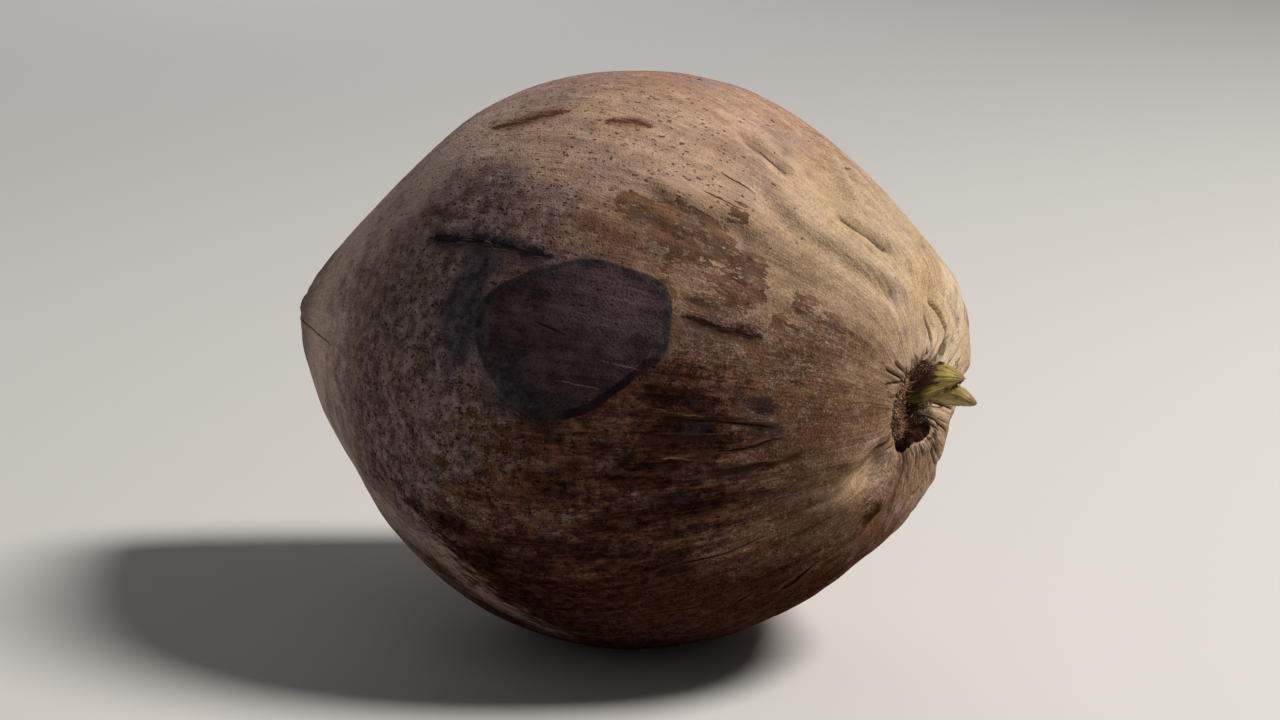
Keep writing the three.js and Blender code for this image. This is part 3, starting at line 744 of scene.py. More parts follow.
bloom = hidden(
    blobs(0.06, (470, 480, 30, 36, 0.30), (560, 500, 16, 30, 0.18), (385, 330, 64, 62, 0.50), (492, 226, 22, 38, 0.34), (400, 200, 20, 34, -0.35), (430, 430, 45, 50, 0.45), (420, 250, 16, 26, 0.15), (560, 215, 26, 36, 0.12), (592, 222, 16, 28, 0.16), (675, 168, 34, 46, -0.30), (640, 165, 10, 26, 0.25), (470, 190, 14, 26, 0.2),
          (884, 478, 8, 12, 0.35), (500, 520, 20, 40, 0.2), (430, 500, 24, 30, 0.25), (925, 435, 8, 8, 0.1), (745, 385, 20, 26, 0.16)),
    (120, 200, 60, 70, 0.35), (95, 330, 40, 50, 0.3), (70, 300, 16, 30, 0.3))
worn = hidden(
    blobs(0.0, (600, 500, 36, 60, 0.70), (600, 575, 30, 78, 0.75), (610, 622, 26, 60, 0.60), (690, 520, 20, 24, 0.25), (770, 575, 38, 56, -1.0), (500, 560, 24, 46, 0.25), (560, 450, 26, 46, 0.30),
          (690, 436, 18, 28, 0.70), (752, 448, 9, 14, 0.30), (740, 502, 18, 24, 0.35), (715, 380, 18, 24, 0.50), (790, 385, 9, 9, 0.60), (800, 368, 7, 8, 0.5), (775, 400, 9, 12, 0.4),
          (794, 330, 5, 8, 0.75), (830, 331, 5.5, 6.5, 1.05), (805, 304, 4, 5.5, 0.95), (757, 284, 7, 5, 0.85), (700, 296, 9, 16, 0.35), (790, 352, 4, 8, 0.5), (668, 254, 8, 8, 0.45),
          (655, 214, 8, 14, 1.0), (697, 224, 6, 12, 1.0), (680, 240, 5, 8, 0.9), (638, 206, 5, 8, 0.9), (735, 214, 5, 8, 0.60), (722, 250, 5, 13, 0.85), (752, 252, 3, 9, 0.7), (700, 275, 12, 16, 0.28), (690, 248, 11, 20, 0.22),
          (610, 410, 20, 26, 0.35), (700, 175, 6, 16, 0.2), (610, 105, 9, 26, 0.2), (570, 150, 12, 22, 0.12)),
    (75, 285, 28, 45, 0.6), (105, 245, 22, 40, 0.5), (60, 225, 16, 26, 0.5), (104, 192, 40, 66, 0.75), (125, 180, 34, 50, 0.45), (130, 320, 20, 35, 0.45), (85, 325, 16, 26, 0.45))
# stains, and painted shade: the broad dark patches low on the front and the one beneath the nut make it darker towards
# the bottom
stains_and_low_shade = hidden(
    blobs(0.0, (590, 652, 34, 96, 1.10), (590, 565, 38, 84, 0.22), (640, 505, 30, 50, 0.04), (500, 600, 20, 44, 0.34), (558, 592, 22, 48, 0.60), (655, 520, 7, 26, 0.35), (560, 545, 8, 60, 0.2), (700, 575, 14, 42, 0.2),
          (730, 602, 22, 44, 0.17), (700, 437, 6, 16, 0.3), (760, 645, 30, 60, 0.14), (712, 440, 22, 26, 0.20), (615, 430, 26, 34, 0.30), (690, 385, 20, 22, 0.14), (575, 475, 26, 36, 0.05),
          (640, 475, 5, 12, 0.3), (690, 405, 5, 12, 0.3), (640, 392, 10, 22, 0.25), (520, 430, 10, 14, 0.12), (518, 454, 20, 28, 0.17),
          (873, 511, 3.6, 5.5, 0.75), (862, 530, 2.6, 5, 0.3), (730, 490, 8, 24, 0.25), (722, 300, 3, 7, 0.3), (480, 497, 4, 9, 0.4), (545, 500, 4, 12, 0.3),
          (445, 522, 4, 9, 0.35)),
    (95, 178, 44, 100, 0.65), (75, 240, 8, 20, 0.5), (115, 280, 8, 16, 0.5), (60, 310, 6, 14, 0.5), (140, 200, 14, 26, 0.5))
spots = hidden(
    blobs(0.22, (520, 110, 22, 60, 0.45), (420, 180, 26, 40, 0.3), (500, 490, 50, 60, 0.62), (480, 180, 60, 75, 0.55), (400, 330, 85, 60, 0.6), (450, 440, 55, 60, 0.5), (600, 112, 30, 60, 0.45), (570, 440, 35, 70, 0.35), (560, 200, 40, 50, 0.3), (540, 160, 40, 50, 0.2),
          (880, 260, 70, 60, -0.2), (900, 430, 60, 50, -0.22), (325, 340, 80, 22, -0.35)),
    (110, 230, 60, 70, 0.4), (80, 320, 50, 60, 0.3), (60, 260, 40, 40, -0.15))
warm = hidden(
    blobs(0.0, (850, 410, 30, 24, 0.22), (870, 500, 24, 30, 0.25), (808, 168, 12, 15, 0.75), (935, 290, 16, 12, 0.8), (690, 300, 30, 40, 0.30), (610, 460, 24, 50, 0.4), (560, 116, 10, 40, 0.35), (840, 225, 5, 7, 0.4), (600, 240, 14, 30, 0.08),
          (908, 255, 5, 6, 0.5), (820, 600, 30, 60, 0.35), (750, 640, 30, 60, 0.3), (915, 330, 5, 6, 0.6), (738, 213, 5, 9, 0.6), (770, 470, 20, 40, 0.25), (955, 330, 10, 8, 0.2)),
    (45, 290, 14, 16, 0.6), (70, 210, 30, 50, 0.4), (130, 260, 20, 30, 0.4))
# the pale band along the lower left keel, on its underside: partly pale skin, partly a painted rim light along the
# outline
which, d, s, over, total = along(curve_at([(312, 398), (338, 436), (374, 478), (412, 508), (450, 541), (482, 574), (516, 600), (562, 625), (625, 641)]), 30)
sign = 1.0 if d[P[which][:, 2].argmin()] > 0 else -1.0
wander = 9.0 * fbm(np.stack([d / 5.0, s * total / 26.0, 0 * s], -1), 3, 92) + 2.2 * fbm(np.stack([d / 1.6, s * total / 12.0, 0 * s], -1), 2, 94)
keel_pale_and_rim_light = smooth(-2.5, 3.5, d * sign + wander) * smooth(26, 12, d * sign) * smooth(0, 0.10, s) * smooth(0, 0.16, 1 - s)
keel_pale_and_rim_light = np.clip(keel_pale_and_rim_light, 0, 1)
fray = smooth(-0.04, 0.10, fbm(np.stack([d / 1.1, s * total / 16.0, 0 * s + 2], -1), 3, 95) + 0.16 * smooth(4, 14, d * sign) - 0.04)
keel_pale_and_rim_light = keel_pale_and_rim_light * (0.40 + 0.60 * fray)
pale[which] += 0.62 * keel_pale_and_rim_light
bloom[which] -= 0.3 * keel_pale_and_rim_light
worn[which] -= 1.2 * keel_pale_and_rim_light
stains_and_low_shade[which] -= 0.9 * keel_pale_and_rim_light
# dark dashes along its inner side
dash = smooth(-9, -1, d * sign) * smooth(12, 4, d * sign) * smooth(0.02, 0.22, fbm(np.stack([d / 1.5, s * total / 11.0, 0 * s], -1), 3, 93)) * smooth(0.1, 0.3, s) * smooth(0, 0.1, 1 - s)
stains_and_low_shade[which] += 0.9 * dash
stains_and_low_shade = np.clip(stains_and_low_shade, 0, 1.2)
worn = np.clip(worn, 0, 1.3)
bloom = np.clip(bloom, 0, 1.2)


# ---------------------------------------------------------------- lines: signed distance across each, and its half width, in a few channels
def channel():
    return np.full(COUNT, 9.0), np.zeros(COUNT)


def draw(chan, line, half, first=5.0, last=5.0, wander=0.0):
    """A thin line. Each channel holds lines that lie well apart."""
    far, wide = chan
    which, d, s, over, total = along(line, 9.0)
    w = half * ends(s, over, total, first, last) * smooth(1.2, 0.2, over)
    w = w * smooth(8.5, 6.0, np.abs(d))
    new = w > wide[which]
    far[which[new]], wide[which[new]] = d[new], w[new]


cracks_a, cracks_b, strands, gouges = channel(), channel(), channel(), channel()
draw(cracks_a, curve_at([(717, 171), (731, 179), (745, 187), (762, 198)]), 0.2, 3, 8)
draw(cracks_b, curve_at([(697, 188), (710, 195), (726, 203), (743, 214)]), 0.2, 6, 8)
draw(cracks_a, curve_at([(777, 592), (791, 584), (804, 573), (818, 561), (834, 551)]), 1.8, 3, 26)
draw(cracks_b, curve_at([(734, 604), (747, 596), (762, 588)]), 0.75, 4, 10)
draw(cracks_a, curve_at([(530, 320), (544, 325), (556, 331), (573, 338)]), 0.24, 4, 7)
draw(cracks_b, curve_at([(302, 318), (313, 329), (323, 338), (334, 348)]), 0.12, 1, 9)
draw(cracks_a, curve_at([(475, 544), (513, 544), (547, 546), (580, 544), (640, 542)]), 0.16, 10, 26)
draw(cracks_b, curve_at([(650, 414), (668, 417), (690, 420), (722, 422), (759, 426), (787, 429)]), 0.24, 12, 12)
draw(cracks_a, curve_at([(700, 450), (720, 451), (749, 448), (772, 440), (795, 437)]), 0.22, 12, 12)
draw(cracks_b, curve_at([(745, 138), (763, 151), (777, 163), (792, 179)]), 0.12, 10, 10)
draw(cracks_b, curve_at([(660, 568), (695, 560), (722, 552), (748, 541), (776, 528)]), 0.34, 12, 12)
draw(cracks_a, curve_at([(622, 618), (660, 612), (700, 606), (725, 596)]), 0.34, 12, 12)
draw(cracks_b, curve_at([(846, 479), (853, 472), (861, 464), (868, 457)]), 0.75, 1.5, 6)
# fine old splits on the far side
draw(cracks_a, curve_on([(62, 262), (80, 264), (98, 262)]), 0.36, 6, 8)
draw(cracks_b, curve_on([(84, 300), (96, 301), (110, 299)]), 0.34, 5, 8)
draw(cracks_a, curve_on([(110, 228), (122, 229), (136, 226)]), 0.4, 5, 8)
draw(cracks_b, curve_on([(58, 205), (74, 203), (92, 205)]), 0.34, 8, 8)
draw(cracks_a, curve_on([(150, 285), (160, 288), (170, 284)]), 0.3, 4, 6)
draw(cracks_b, curve_on([(46, 330), (58, 328), (70, 330)]), 0.34, 6, 8)
# dark bruised gouges
draw(gouges, curve_at([(427, 237), (450, 239), (480, 241), (502, 245), (527, 252), (562, 258)]), 2.1, 8, 12)
draw(gouges, curve_at([(672, 314), (699, 322), (722, 329), (745, 334), (768, 340)]), 1.25, 10, 7)
draw(gouges, curve_at([(484, 131), (505, 126), (528, 120), (548, 114), (575, 112)]), 2.0, 14, 10)
draw(gouges, curve_at([(598, 121), (618, 121), (636, 122), (657, 128)]), 1.8, 10, 7)
draw(gouges, curve_on([(66, 236), (78, 238), (90, 236)]), 1.0, 14, 12)
draw(gouges, curve_on([(112, 268), (121, 270), (130, 268)]), 0.9, 10, 10)
# pale scratches and loose strands
draw(strands, curve_at([(592, 358), (606, 362), (624, 366), (645, 371)]), 0.19, 4, 6)
draw(strands, curve_at([(548, 379), (566, 382), (584, 386), (606, 391)]), 0.19, 4, 6)
draw(strands, curve_at([(481, 239), (487, 241), (495, 244)]), 0.22, 2, 3)
draw(strands, curve_at([(484, 247), (503, 250), (525, 255)]), 0.17, 6, 8)
draw(strands, curve_at([(448, 464), (460, 470), (475, 475)]), 0.17, 3, 4)
draw(strands, curve_at([(650, 408), (668, 412), (690, 415), (712, 417)]), 0.34, 6, 8)
draw(strands, curve_at([(735, 443), (756, 442), (776, 437), (792, 434)]), 0.34, 5, 6)
draw(strands, curve_at([(700, 462), (722, 460), (750, 457), (776, 452)]), 0.34, 6, 6)
draw(strands, curve_at([(655, 459), (672, 458), (690, 460), (704, 462)]), 0.34, 6, 6)
draw(strands, curve_at([(752, 482), (770, 479), (786, 474)]), 0.33, 5, 5)

# --- the dark ring mark: how far inside its line, mm
RING = [(477, 327), (479, 313), (484, 301), (494, 291), (508, 282), (525, 274), (542, 268), (560, 264), (579, 261), (604, 261), (618, 265), (632, 270), (648, 277),
        (661, 285), (667, 300), (669, 315), (668, 331), (664, 350), (655, 361), (646, 368), (632, 378), (618, 388), (606, 398), (594, 406), (581, 412), (566, 415),
        (548, 415), (533, 411), (519, 404), (508, 395), (499, 386), (491, 374), (485, 360), (480, 344)]
loop = np.array([at(*p) for p in RING + RING[:1]])
t = np.linspace(0, 1, len(loop))
u = np.linspace(0, 1, 160)
loop = np.stack([knots(t, loop[:, c], u) for c in range(3)], -1)
which, d, s, over, total = along(loop, 75)
middle_at = ((P[which] - at(572, 335)) ** 2).sum(1).argmin()
ring = np.full(COUNT, -40.0)
ring[which] = np.clip(d * (1.0 if d[middle_at] > 0 else -1.0), -40, 40)
which_far = ((P - loop.mean(0)) ** 2).sum(1) > 78**2
ring[which_far] = -40.0
# how heavy the ring's line is round it: thin and grey above, wide and black below and at the left
ring_wide = 0.9 + 0.45 * zone(at(666, 315), 30, 12) + 0.9 * zone(at(482, 330), 16, 14) + 0.5 * zone(at(560, 412), 14, 26) - 0.15 * zone(at(640, 275), 20, 30)
# slate smears round the ring and small dark smudges; the one at (870, 468) is painted shade in the fold's hollow
smear = blobs(0.0, (466, 303, 20, 8, 0.95), (458, 292, 22, 12, 0.18), (476, 345, 12, 6, 0.4), (520, 268, 4, 24, 0.6), (505, 390, 11, 12, 0.6), (545, 402, 7, 14, 0.55), (448, 345, 12, 8, 0.3),
              (700, 302, 1.6, 7, 0.75), (655, 268, 2.2, 3, 0.6), (698, 403, 3, 5.5, 0.8), (760, 405, 3.4, 7, 0.75), (696, 431, 3.4, 8, 0.7), (766, 431, 2.6, 8, 0.7), (728, 473, 3.6, 8, 0.7),
              (668, 500, 4, 9, 0.8), (725, 390, 3, 7, 0.5), (870, 468, 4, 5, 0.25), (545, 425, 4, 8, 0.4), (560, 440, 3, 6, 0.4))
mottle = blobs(0.0, (565, 388, 9, 20, 0.3), (590, 292, 11, 16, 0.6), (560, 325, 14, 14, 0.35), (625, 312, 12, 12, 0.4), (648, 372, 5, 8, -0.9), (618, 396, 5, 11, -1.0), (588, 414, 4, 8, -0.8), (550, 416, 4, 12, -0.35), (515, 401, 5, 9, -0.1))

# ---------------------------------------------------------------- meshes
def to_row(p):
    """Millimetres about the nut's centre to metres in the row frame."""
    return (np.asarray(p, float) + CENTRE) / 1000.0


def new_mesh(name, points, quads, tris=(), layers=None, smooth_=True):
    """An object from points (mm about the nut's centre), quads and triangles, with vertex layers of numbers or vectors."""
    points = to_row(points)
    quads, tris = np.asarray(quads, int).reshape(-1, 4), np.asarray(tris, int).reshape(-1, 3)
    mesh = bpy.data.meshes.new(name)
    mesh.vertices.add(len(points))
    mesh.vertices.foreach_set("co", points.astype(np.float32).ravel())
    loops = np.concatenate([quads.ravel(), tris.ravel()]).astype(np.int32)
    mesh.loops.add(len(loops))
    mesh.loops.foreach_set("vertex_index", loops)
    sizes = np.concatenate([np.full(len(quads), 4), np.full(len(tris), 3)]).astype(np.int32)
    mesh.polygons.add(len(sizes))
    mesh.polygons.foreach_set("loop_start", np.concatenate([[0], np.cumsum(sizes)[:-1]]).astype(np.int32))
    mesh.polygons.foreach_set("use_smooth", np.full(len(sizes), smooth_))
    mesh.update(calc_edges=True)
    mesh.validate()
    for key, values in (layers or {}).items():
        values = np.asarray(values, np.float32)
        if values.ndim == 1:
            mesh.attributes.new(key, "FLOAT", "POINT").data.foreach_set("value", values)
        else:
            mesh.attributes.new(key, "FLOAT_VECTOR", "POINT").data.foreach_set("vector", values.ravel())
    obj = bpy.data.objects.new(name, mesh)
    bpy.context.scene.collection.objects.link(obj)
    return obj


def outward(points, quads, tris):
    """Turns the faces over if the closed surface's volume comes out negative."""
    p = np.asarray(points, float)
    p = p - p.mean(0)
    t = np.concatenate([quads[:, [0, 1, 2]], quads[:, [0, 2, 3]], tris]) if len(quads) else tris
    v = np.einsum("ij,ij->i", p[t[:, 0]], np.cross(p[t[:, 1]], p[t[:, 2]])).sum()
    return (quads, tris) if v > 0 else (quads[:, ::-1], tris[:, ::-1])


def polar_faces(rows, around, start=0):
    """Faces of a closed polar grid whose first and last rows are single points."""
    i, j = np.meshgrid(np.arange(1, rows - 2), np.arange(around), indexing="ij")
    k = (j + 1) % around

    def at_(a, b):
        return start + 1 + (a - 1) * around + b

    quads = np.stack([at_(i, j), at_(i, k), at_(i + 1, k), at_(i + 1, j)], -1).reshape(-1, 4)
    j = np.arange(around)
    k = (j + 1) % around
    last = start + 1 + (rows - 2) * around
    tris = np.concatenate([np.stack([np.full(around, start), at_(1, k), at_(1, j)], -1), np.stack([np.full(around, last), at_(rows - 2, j), at_(rows - 2, k)], -1)])
    return quads, tris


def fold_poles(values):
    """One value for each pole instead of a whole row."""
    v = values.reshape((ROWS, MERIDIANS) + values.shape[1:])
    return np.concatenate([v[0].mean(0)[None], v[1:-1].reshape((-1,) + values.shape[1:]), v[-1].mean(0)[None]])


def cloud(p, octaves, seed, gain=0.55):
    """Noise over the skin with mean 0.5 and a spread of 0.11."""
    f = fbm(p, octaves, seed, gain)
    return 0.5 + 0.11 * (f - f.mean()) / f.std()


def drift(across, along_, seed):
    return FIBRE / [across, across, along_] + seed


scar_in = smooth(-0.15, 0.5, INSIDE) * stem_end
layers = {
    "cloud_a": np.stack([cloud(P / 40.0, 3, 101), cloud(P / 24.0, 3, 102), cloud(P / 17.0, 3, 103)], -1),
    "cloud_b": np.stack([cloud(P / 12.0, 3, 104), cloud(P / 9.0, 3, 105), cloud(P / 7.0, 2, 106)], -1),
    "cloud_c": np.stack([cloud(drift(9.0, 42.0, 3.1), 3, 107), cloud(drift(5.5, 60.0, 7.7), 2, 108), cloud(P / 5.0, 2, 109)], -1),
    "warp": np.stack([cloud(P / 5.0, 2, 110 + k) for k in range(3)], -1),
    "fib": FIBRE, "tone_a": np.stack([pale, bloom, worn], -1), "tone_b": np.stack([stains_and_low_shade, spots, warm], -1),
    "crack_a": np.stack([cracks_a[0], cracks_a[1], ring], -1), "crack_b": np.stack([cracks_b[0], cracks_b[1], ring_wide], -1),
    "gouge": np.stack([gouges[0], gouges[1], smear], -1), "strand": np.stack([strands[0], strands[1], mottle], -1),
    "shade_and_soiling": np.stack([np.clip(crease_shade_and_soiling, 0, 1), np.clip(crest_wear_and_highlight, 0, 1), S], -1),
    "scar": np.stack([np.where(stem_end, INSIDE, -30.0), hollow * stem_end, shadowed_lower_lip * stem_end], -1),
    "scar_b": np.stack([crest * coir * stem_end, np.where(stem_end, RR, 99.0), from_hollow], -1),
}
layers = {k: fold_poles(v) for k, v in layers.items()}
skin_points = fold_poles(V)
quads, tris = outward(skin_points, *polar_faces(ROWS, MERIDIANS))
husk = new_mesh("husk_skin", skin_points, quads, tris, layers)
print("husk", len(quads) * 2 + len(tris), "triangles", ROWS, "rows")
# ---------------------------------------------------------------- the husk's material
m = Mat("dry_husk")
here = m.place()
fib = m.attribute("fib")
pale_, bloom_, worn_ = m.split(m.attribute("tone_a"))
stains_and_low_shade_, spots_, warm_ = m.split(m.attribute("tone_b"))
crack_a_d, crack_a_w, ring_ = m.split(m.attribute("crack_a"))
crack_b_d, crack_b_w, ring_w = m.split(m.attribute("crack_b"))
gouge_d, gouge_w, smear_ = m.split(m.attribute("gouge"))
strand_d, strand_w, mottle_ = m.split(m.attribute("strand"))
shade_and_soiling_, edge_, arc_ = m.split(m.attribute("shade_and_soiling"))
inside_, hollow_, lip_ = m.split(m.attribute("scar"))
crest_, from_scar, from_hole = m.split(m.attribute("scar_b"))

# the larger noises come with the mesh; their names give their size in mm
n40, n24, n17 = m.split(m.attribute("cloud_a"))
n12, n9, n7 = m.split(m.attribute("cloud_b"))
flow, long_a, n5 = m.split(m.attribute("cloud_c"))
warp_ = m.attribute("warp")
# the finer ones: round, and drawn out along the fibres
n4 = m.noise(here, 3.6, 2, 0.62)
n1 = m.noise(here, 0.75, 1, 0.62)
long_b = m.noise(m.stretch(fib, 1, 1, 0.065), 1.7, 2, 0.62)  # fibres
long_c = m.noise(m.stretch(fib, 1, 1, 0.10), 0.7, 1, 0.55)  # fine fibres
ragged_ = m.noise(m.push(m.stretch(fib, 1, 1, 0.42), warp_, 3.0), 5.2, 3, 0.66)
ragged_fine = m.noise(m.push(m.stretch(fib, 1, 1, 0.5), warp_, 2.0), 2.0, 2, 0.66)
g1 = m.step(0.36, 0.64, n1) - 0.5  # crisp grain, -0.5 to 0.5
g4 = m.step(0.30, 0.70, n4) - 0.5
f1 = m.step(0.32, 0.68, long_b) - 0.5
f2 = m.step(0.30, 0.70, long_c) - 0.5
streak = m.step(0.42, 0.58, long_b * 0.26 + ragged_fine * 0.36 + ragged_ * 0.38)

# pale outer skin
tone = m.clip(pale_ + (n40 - 0.5) * 0.30 + (n12 - 0.5) * 0.45 + (long_a - 0.5) * 0.50 + g4 * 0.08 + f1 * 0.07)
skin_c = m.mix(m.step(0.0, 0.55, tone), (0.122, 0.069, 0.042), (0.254, 0.167, 0.104))
skin_c = m.mix(m.step(0.45, 1.05, tone), skin_c, (0.430, 0.312, 0.200))
skin_c = m.mix(m.step(1.0, 1.45, pale_), skin_c, (0.530, 0.410, 0.275))
cool = m.step(0.42, 0.66, n24)
skin_c = m.mix(cool * m.step(1.05, 0.3, tone) * m.step(20, 110, arc_) * 0.5, skin_c, m.mix(tone, (0.125, 0.087, 0.076), (0.355, 0.275, 0.235)))
skin_c = m.mix(m.step(70, 125, arc_) * 0.9, skin_c, m.stretch(skin_c, 1.20, 1.10, 1.22))
warm_amount = m.clip(warm_ + (n17 - 0.54) * 1.1 + (n5 - 0.5) * 0.5 * m.step(0.0, 0.4, warm_)) * 0.6
skin_c = m.mix(warm_amount, skin_c, m.mix(m.step(0.1, 0.8, tone), (0.155, 0.068, 0.031), (0.42, 0.275, 0.14)))
skin_c = m.mix(m.step(150, 235, arc_) * 0.6, skin_c, m.mix(tone, (0.275, 0.212, 0.190), (0.60, 0.475, 0.430)))
# purple-grey bloom
bloom_amount = m.step(0.0, 1.0, bloom_ + (n24 - 0.5) * 0.9 + (n12 - 0.5) * 1.1 + (n5 - 0.5) * 1.1 + g4 * 0.30 + g1 * 0.16)
bloom_c = m.mix(m.step(0.30, 0.70, n7 * 0.6 + n4 * 0.4), (0.100, 0.0645, 0.072), (0.310, 0.220, 0.222))
bloom_c = m.mix(m.step(0.48, 0.66, n9) * 0.5, bloom_c, (0.185, 0.112, 0.076))
skin_c = m.mix(bloom_amount * 0.85, skin_c, bloom_c)
dark = m.clip(stains_and_low_shade_ + (flow - 0.5) * 1.1 * m.step(0.0, 0.25, stains_and_low_shade_) + (long_a - 0.5) * 0.5 * m.step(0.0, 0.3, stains_and_low_shade_))
skin_c = m.mix(dark, skin_c, m.stretch(skin_c, 0.290, 0.220, 0.170))

# where that skin has worn thin it is browner; where it has flaked away the fibre shows, ragged and mostly along the fibres
under = m.mix(m.step(0.30, 0.70, flow), (0.090, 0.0470, 0.0305), (0.176, 0.0950, 0.0570))
under = m.mix(m.step(0.50, 0.62, n9) * 0.6, under, (0.118, 0.0800, 0.0640))
under = m.mix(m.step(0.52, 0.66, n17) * 0.6, under, (0.182, 0.090, 0.046))
under_dark = m.mix(streak, (0.052, 0.0230, 0.0150), (0.165, 0.0770, 0.0470))
under_dark = m.mix(m.step(0.48, 0.62, n7 * 0.5 + n17 * 0.5) * 0.7, under_dark, m.mix(streak, (0.052, 0.0270, 0.0220), (0.150, 0.0900, 0.0690)))
under_dark = m.mix(m.step(0.52, 0.60, n12) * 0.5, under_dark, (0.125, 0.0530, 0.0250))
under = m.mix(m.step(0.05, 0.50, dark), under, under_dark)
under_black = m.mix(streak, (0.0140, 0.0044, 0.0026), (0.0580, 0.0220, 0.0120))
under_black = m.mix(m.step(0.50, 0.60, n7 * 0.5 + n17 * 0.5) * 0.6, under_black, (0.0460, 0.0200, 0.0140))
under = m.mix(m.step(0.45, 1.0, dark), under, under_black)
thin_skin = m.step(0.05, 1.0, worn_ + (flow - 0.5) * 1.2 + (n12 - 0.5) * 0.8 + (n5 - 0.5) * 0.6)
colour = m.mix(thin_skin * (0.07 + m.step(0.12, 0.6, dark) * 0.60), skin_c, under)
field = m.low(worn_, 1.25) * 0.62 + ((ragged_ - 0.5) * 1.6 + (ragged_fine - 0.5) * 1.0 + (n12 - 0.5) * 1.3 + (n24 - 0.5) * 0.5) * m.step(0.02, 0.35, worn_)
flaked = m.step(0.446, 0.460, field)
flaked_rim = m.step(0.385, 0.435, field) * m.step(0.475, 0.455, field)
colour = m.mix(flaked * 0.94, colour, under)
colour = m.mix(flaked_rim * m.step(0.8, 0.1, dark) * 0.60, colour, (0.38, 0.275, 0.185))
# grey-tan scales of skin that are left inside the worn area
scaly = m.step(0.525, 0.575, ragged_fine) * m.step(0.15, 0.6, worn_) * m.step(0.46, 0.60, n9 + (ragged_ - 0.5) * 1.0)
colour = m.mix(scaly * (0.66 - m.step(0.3, 0.9, dark) * 0.36), colour, m.tint((0.240, 0.160, 0.112), 1.0 - dark * 0.80))

# dark blots that follow the fibres
blot = m.step(0.575, 0.66, ragged_ * 0.6 + n5 * 0.4) * m.step(0.15, 0.7, stains_and_low_shade_ * 0.5 + worn_ * 0.65)
colour = m.mix(blot * 0.62, colour, (0.026, 0.0125, 0.0105))

# fibres and grain
near_stem = m.step(75, 30, arc_)
streaky = m.low(worn_, 1.0) * (0.25 + m.step(0.05, 0.4, dark) * 0.75)
colour = m.tint(colour, 1.0 + f1 * (0.13 + near_stem * 0.16 + streaky * 0.14) + f2 * (0.17 + streaky * 0.16) + (long_a - 0.5) * streaky * 0.5)
coarse = 0.27 - flaked * 0.06 + m.step(0.75, 0.2, tone) * 0.16 + m.low(bloom_, 1.0) * 0.42
lively = m.clip(m.step(0.15, 0.6, dark) * 0.8 + m.low(bloom_, 1.0) * 0.9)
blotchy = m.step(0.42, 0.58, n4) - 0.5
colour = m.tint(colour, m.high(0.15, 1.0 + g1 * (coarse + lively * 0.30) + g4 * 0.16 + blotchy * lively * 0.42))

# specks
thick = m.clip(spots_ + (n12 - 0.5) * 1.2 + (n40 - 0.5) * 0.6)
jitter = m.noise(here, 1.5, 0, 0.5, colour=True)
nudged = m.push(m.stretch(here, 0.50, 1, 1), jitter, 1.15)
specks = m.dots(nudged, 1.35, thick * 0.78, 0.34, 0.05)
big_specks = m.dots(nudged, 3.3, thick * 0.42, 0.205, 0.035)
pin = m.step(0.600, 0.650, n1 + (thick - 0.4) * 0.10)
speck_c = m.mix(m.clip(bloom_amount * 0.9 + dark * 1.3), (0.088, 0.036, 0.022), (0.0150, 0.0065, 0.0055))
colour = m.mix(pin * m.step(0.0, 0.5, thick) * (0.42 + m.low(bloom_, 0.8) * 0.3), colour, speck_c)
colour = m.mix(specks * 0.86, colour, speck_c)
colour = m.mix(big_specks * 0.85, colour, speck_c)
flecks = m.step(0.635, 0.70, ragged_fine * 0.5 + n1 * 0.5 + 0.035)
colour = m.mix(flecks * 0.4 * m.step(1.0, 0.3, dark), colour, (0.46, 0.35, 0.26))

# the dark ring mark
wob = (n4 - 0.5) * 1.6 + (n1 - 0.5) * 0.8 + (n12 - 0.5) * 1.4
ring_d = ring_ + wob
ring_in = m.step(-0.9, 0.5, ring_d)
ring_line = m.math("SUBTRACT", 1.0, m.step(ring_w - 0.35, ring_w + 0.55, m.abs(ring_d - 0.5)))
in_mix = m.clip(m.high(mottle_, 0.0) * 0.8 + (n9 - 0.46) * 2.2 + (long_a - 0.5) * 1.2 + g4 * 0.3)
ring_c = m.mix(in_mix, (0.036, 0.0235, 0.0288), (0.096, 0.0620, 0.0665))
ring_c = m.tint(ring_c, 1.0 + f1 * 0.35 + g1 * 0.75)
ring_c = m.mix(m.high(specks, pin * 0.6) * 0.6, ring_c, (0.014, 0.0075, 0.0085))
colour = m.mix(ring_in * 0.95, colour, ring_c)
slate = m.mix(m.step(0.32, 0.68, n4), (0.031, 0.0262, 0.0318), (0.070, 0.0595, 0.0680))
slate = m.tint(slate, 0.9 + g1 * 0.35)
line_c = m.mix(m.step(0.0, -0.6, mottle_), m.stretch(slate, 0.92, 0.95, 0.84), (0.0120, 0.0092, 0.0110))
smear_amount = m.step(0.25, 1.0, smear_ + (n12 - 0.5) * 1.1 + (n5 - 0.5) * 0.8 + g4 * 0.35)
colour = m.mix(smear_amount * 0.78, colour, m.mix(m.step(135, 180, arc_), m.tint(slate, 0.40), m.stretch(m.tint(slate, 1.08 + ring_in * 0.22), 0.98, 1.04, 1.26)))
colour = m.mix(ring_line * m.clip(0.88 + (n12 - 0.5) * 1.4), colour, line_c)

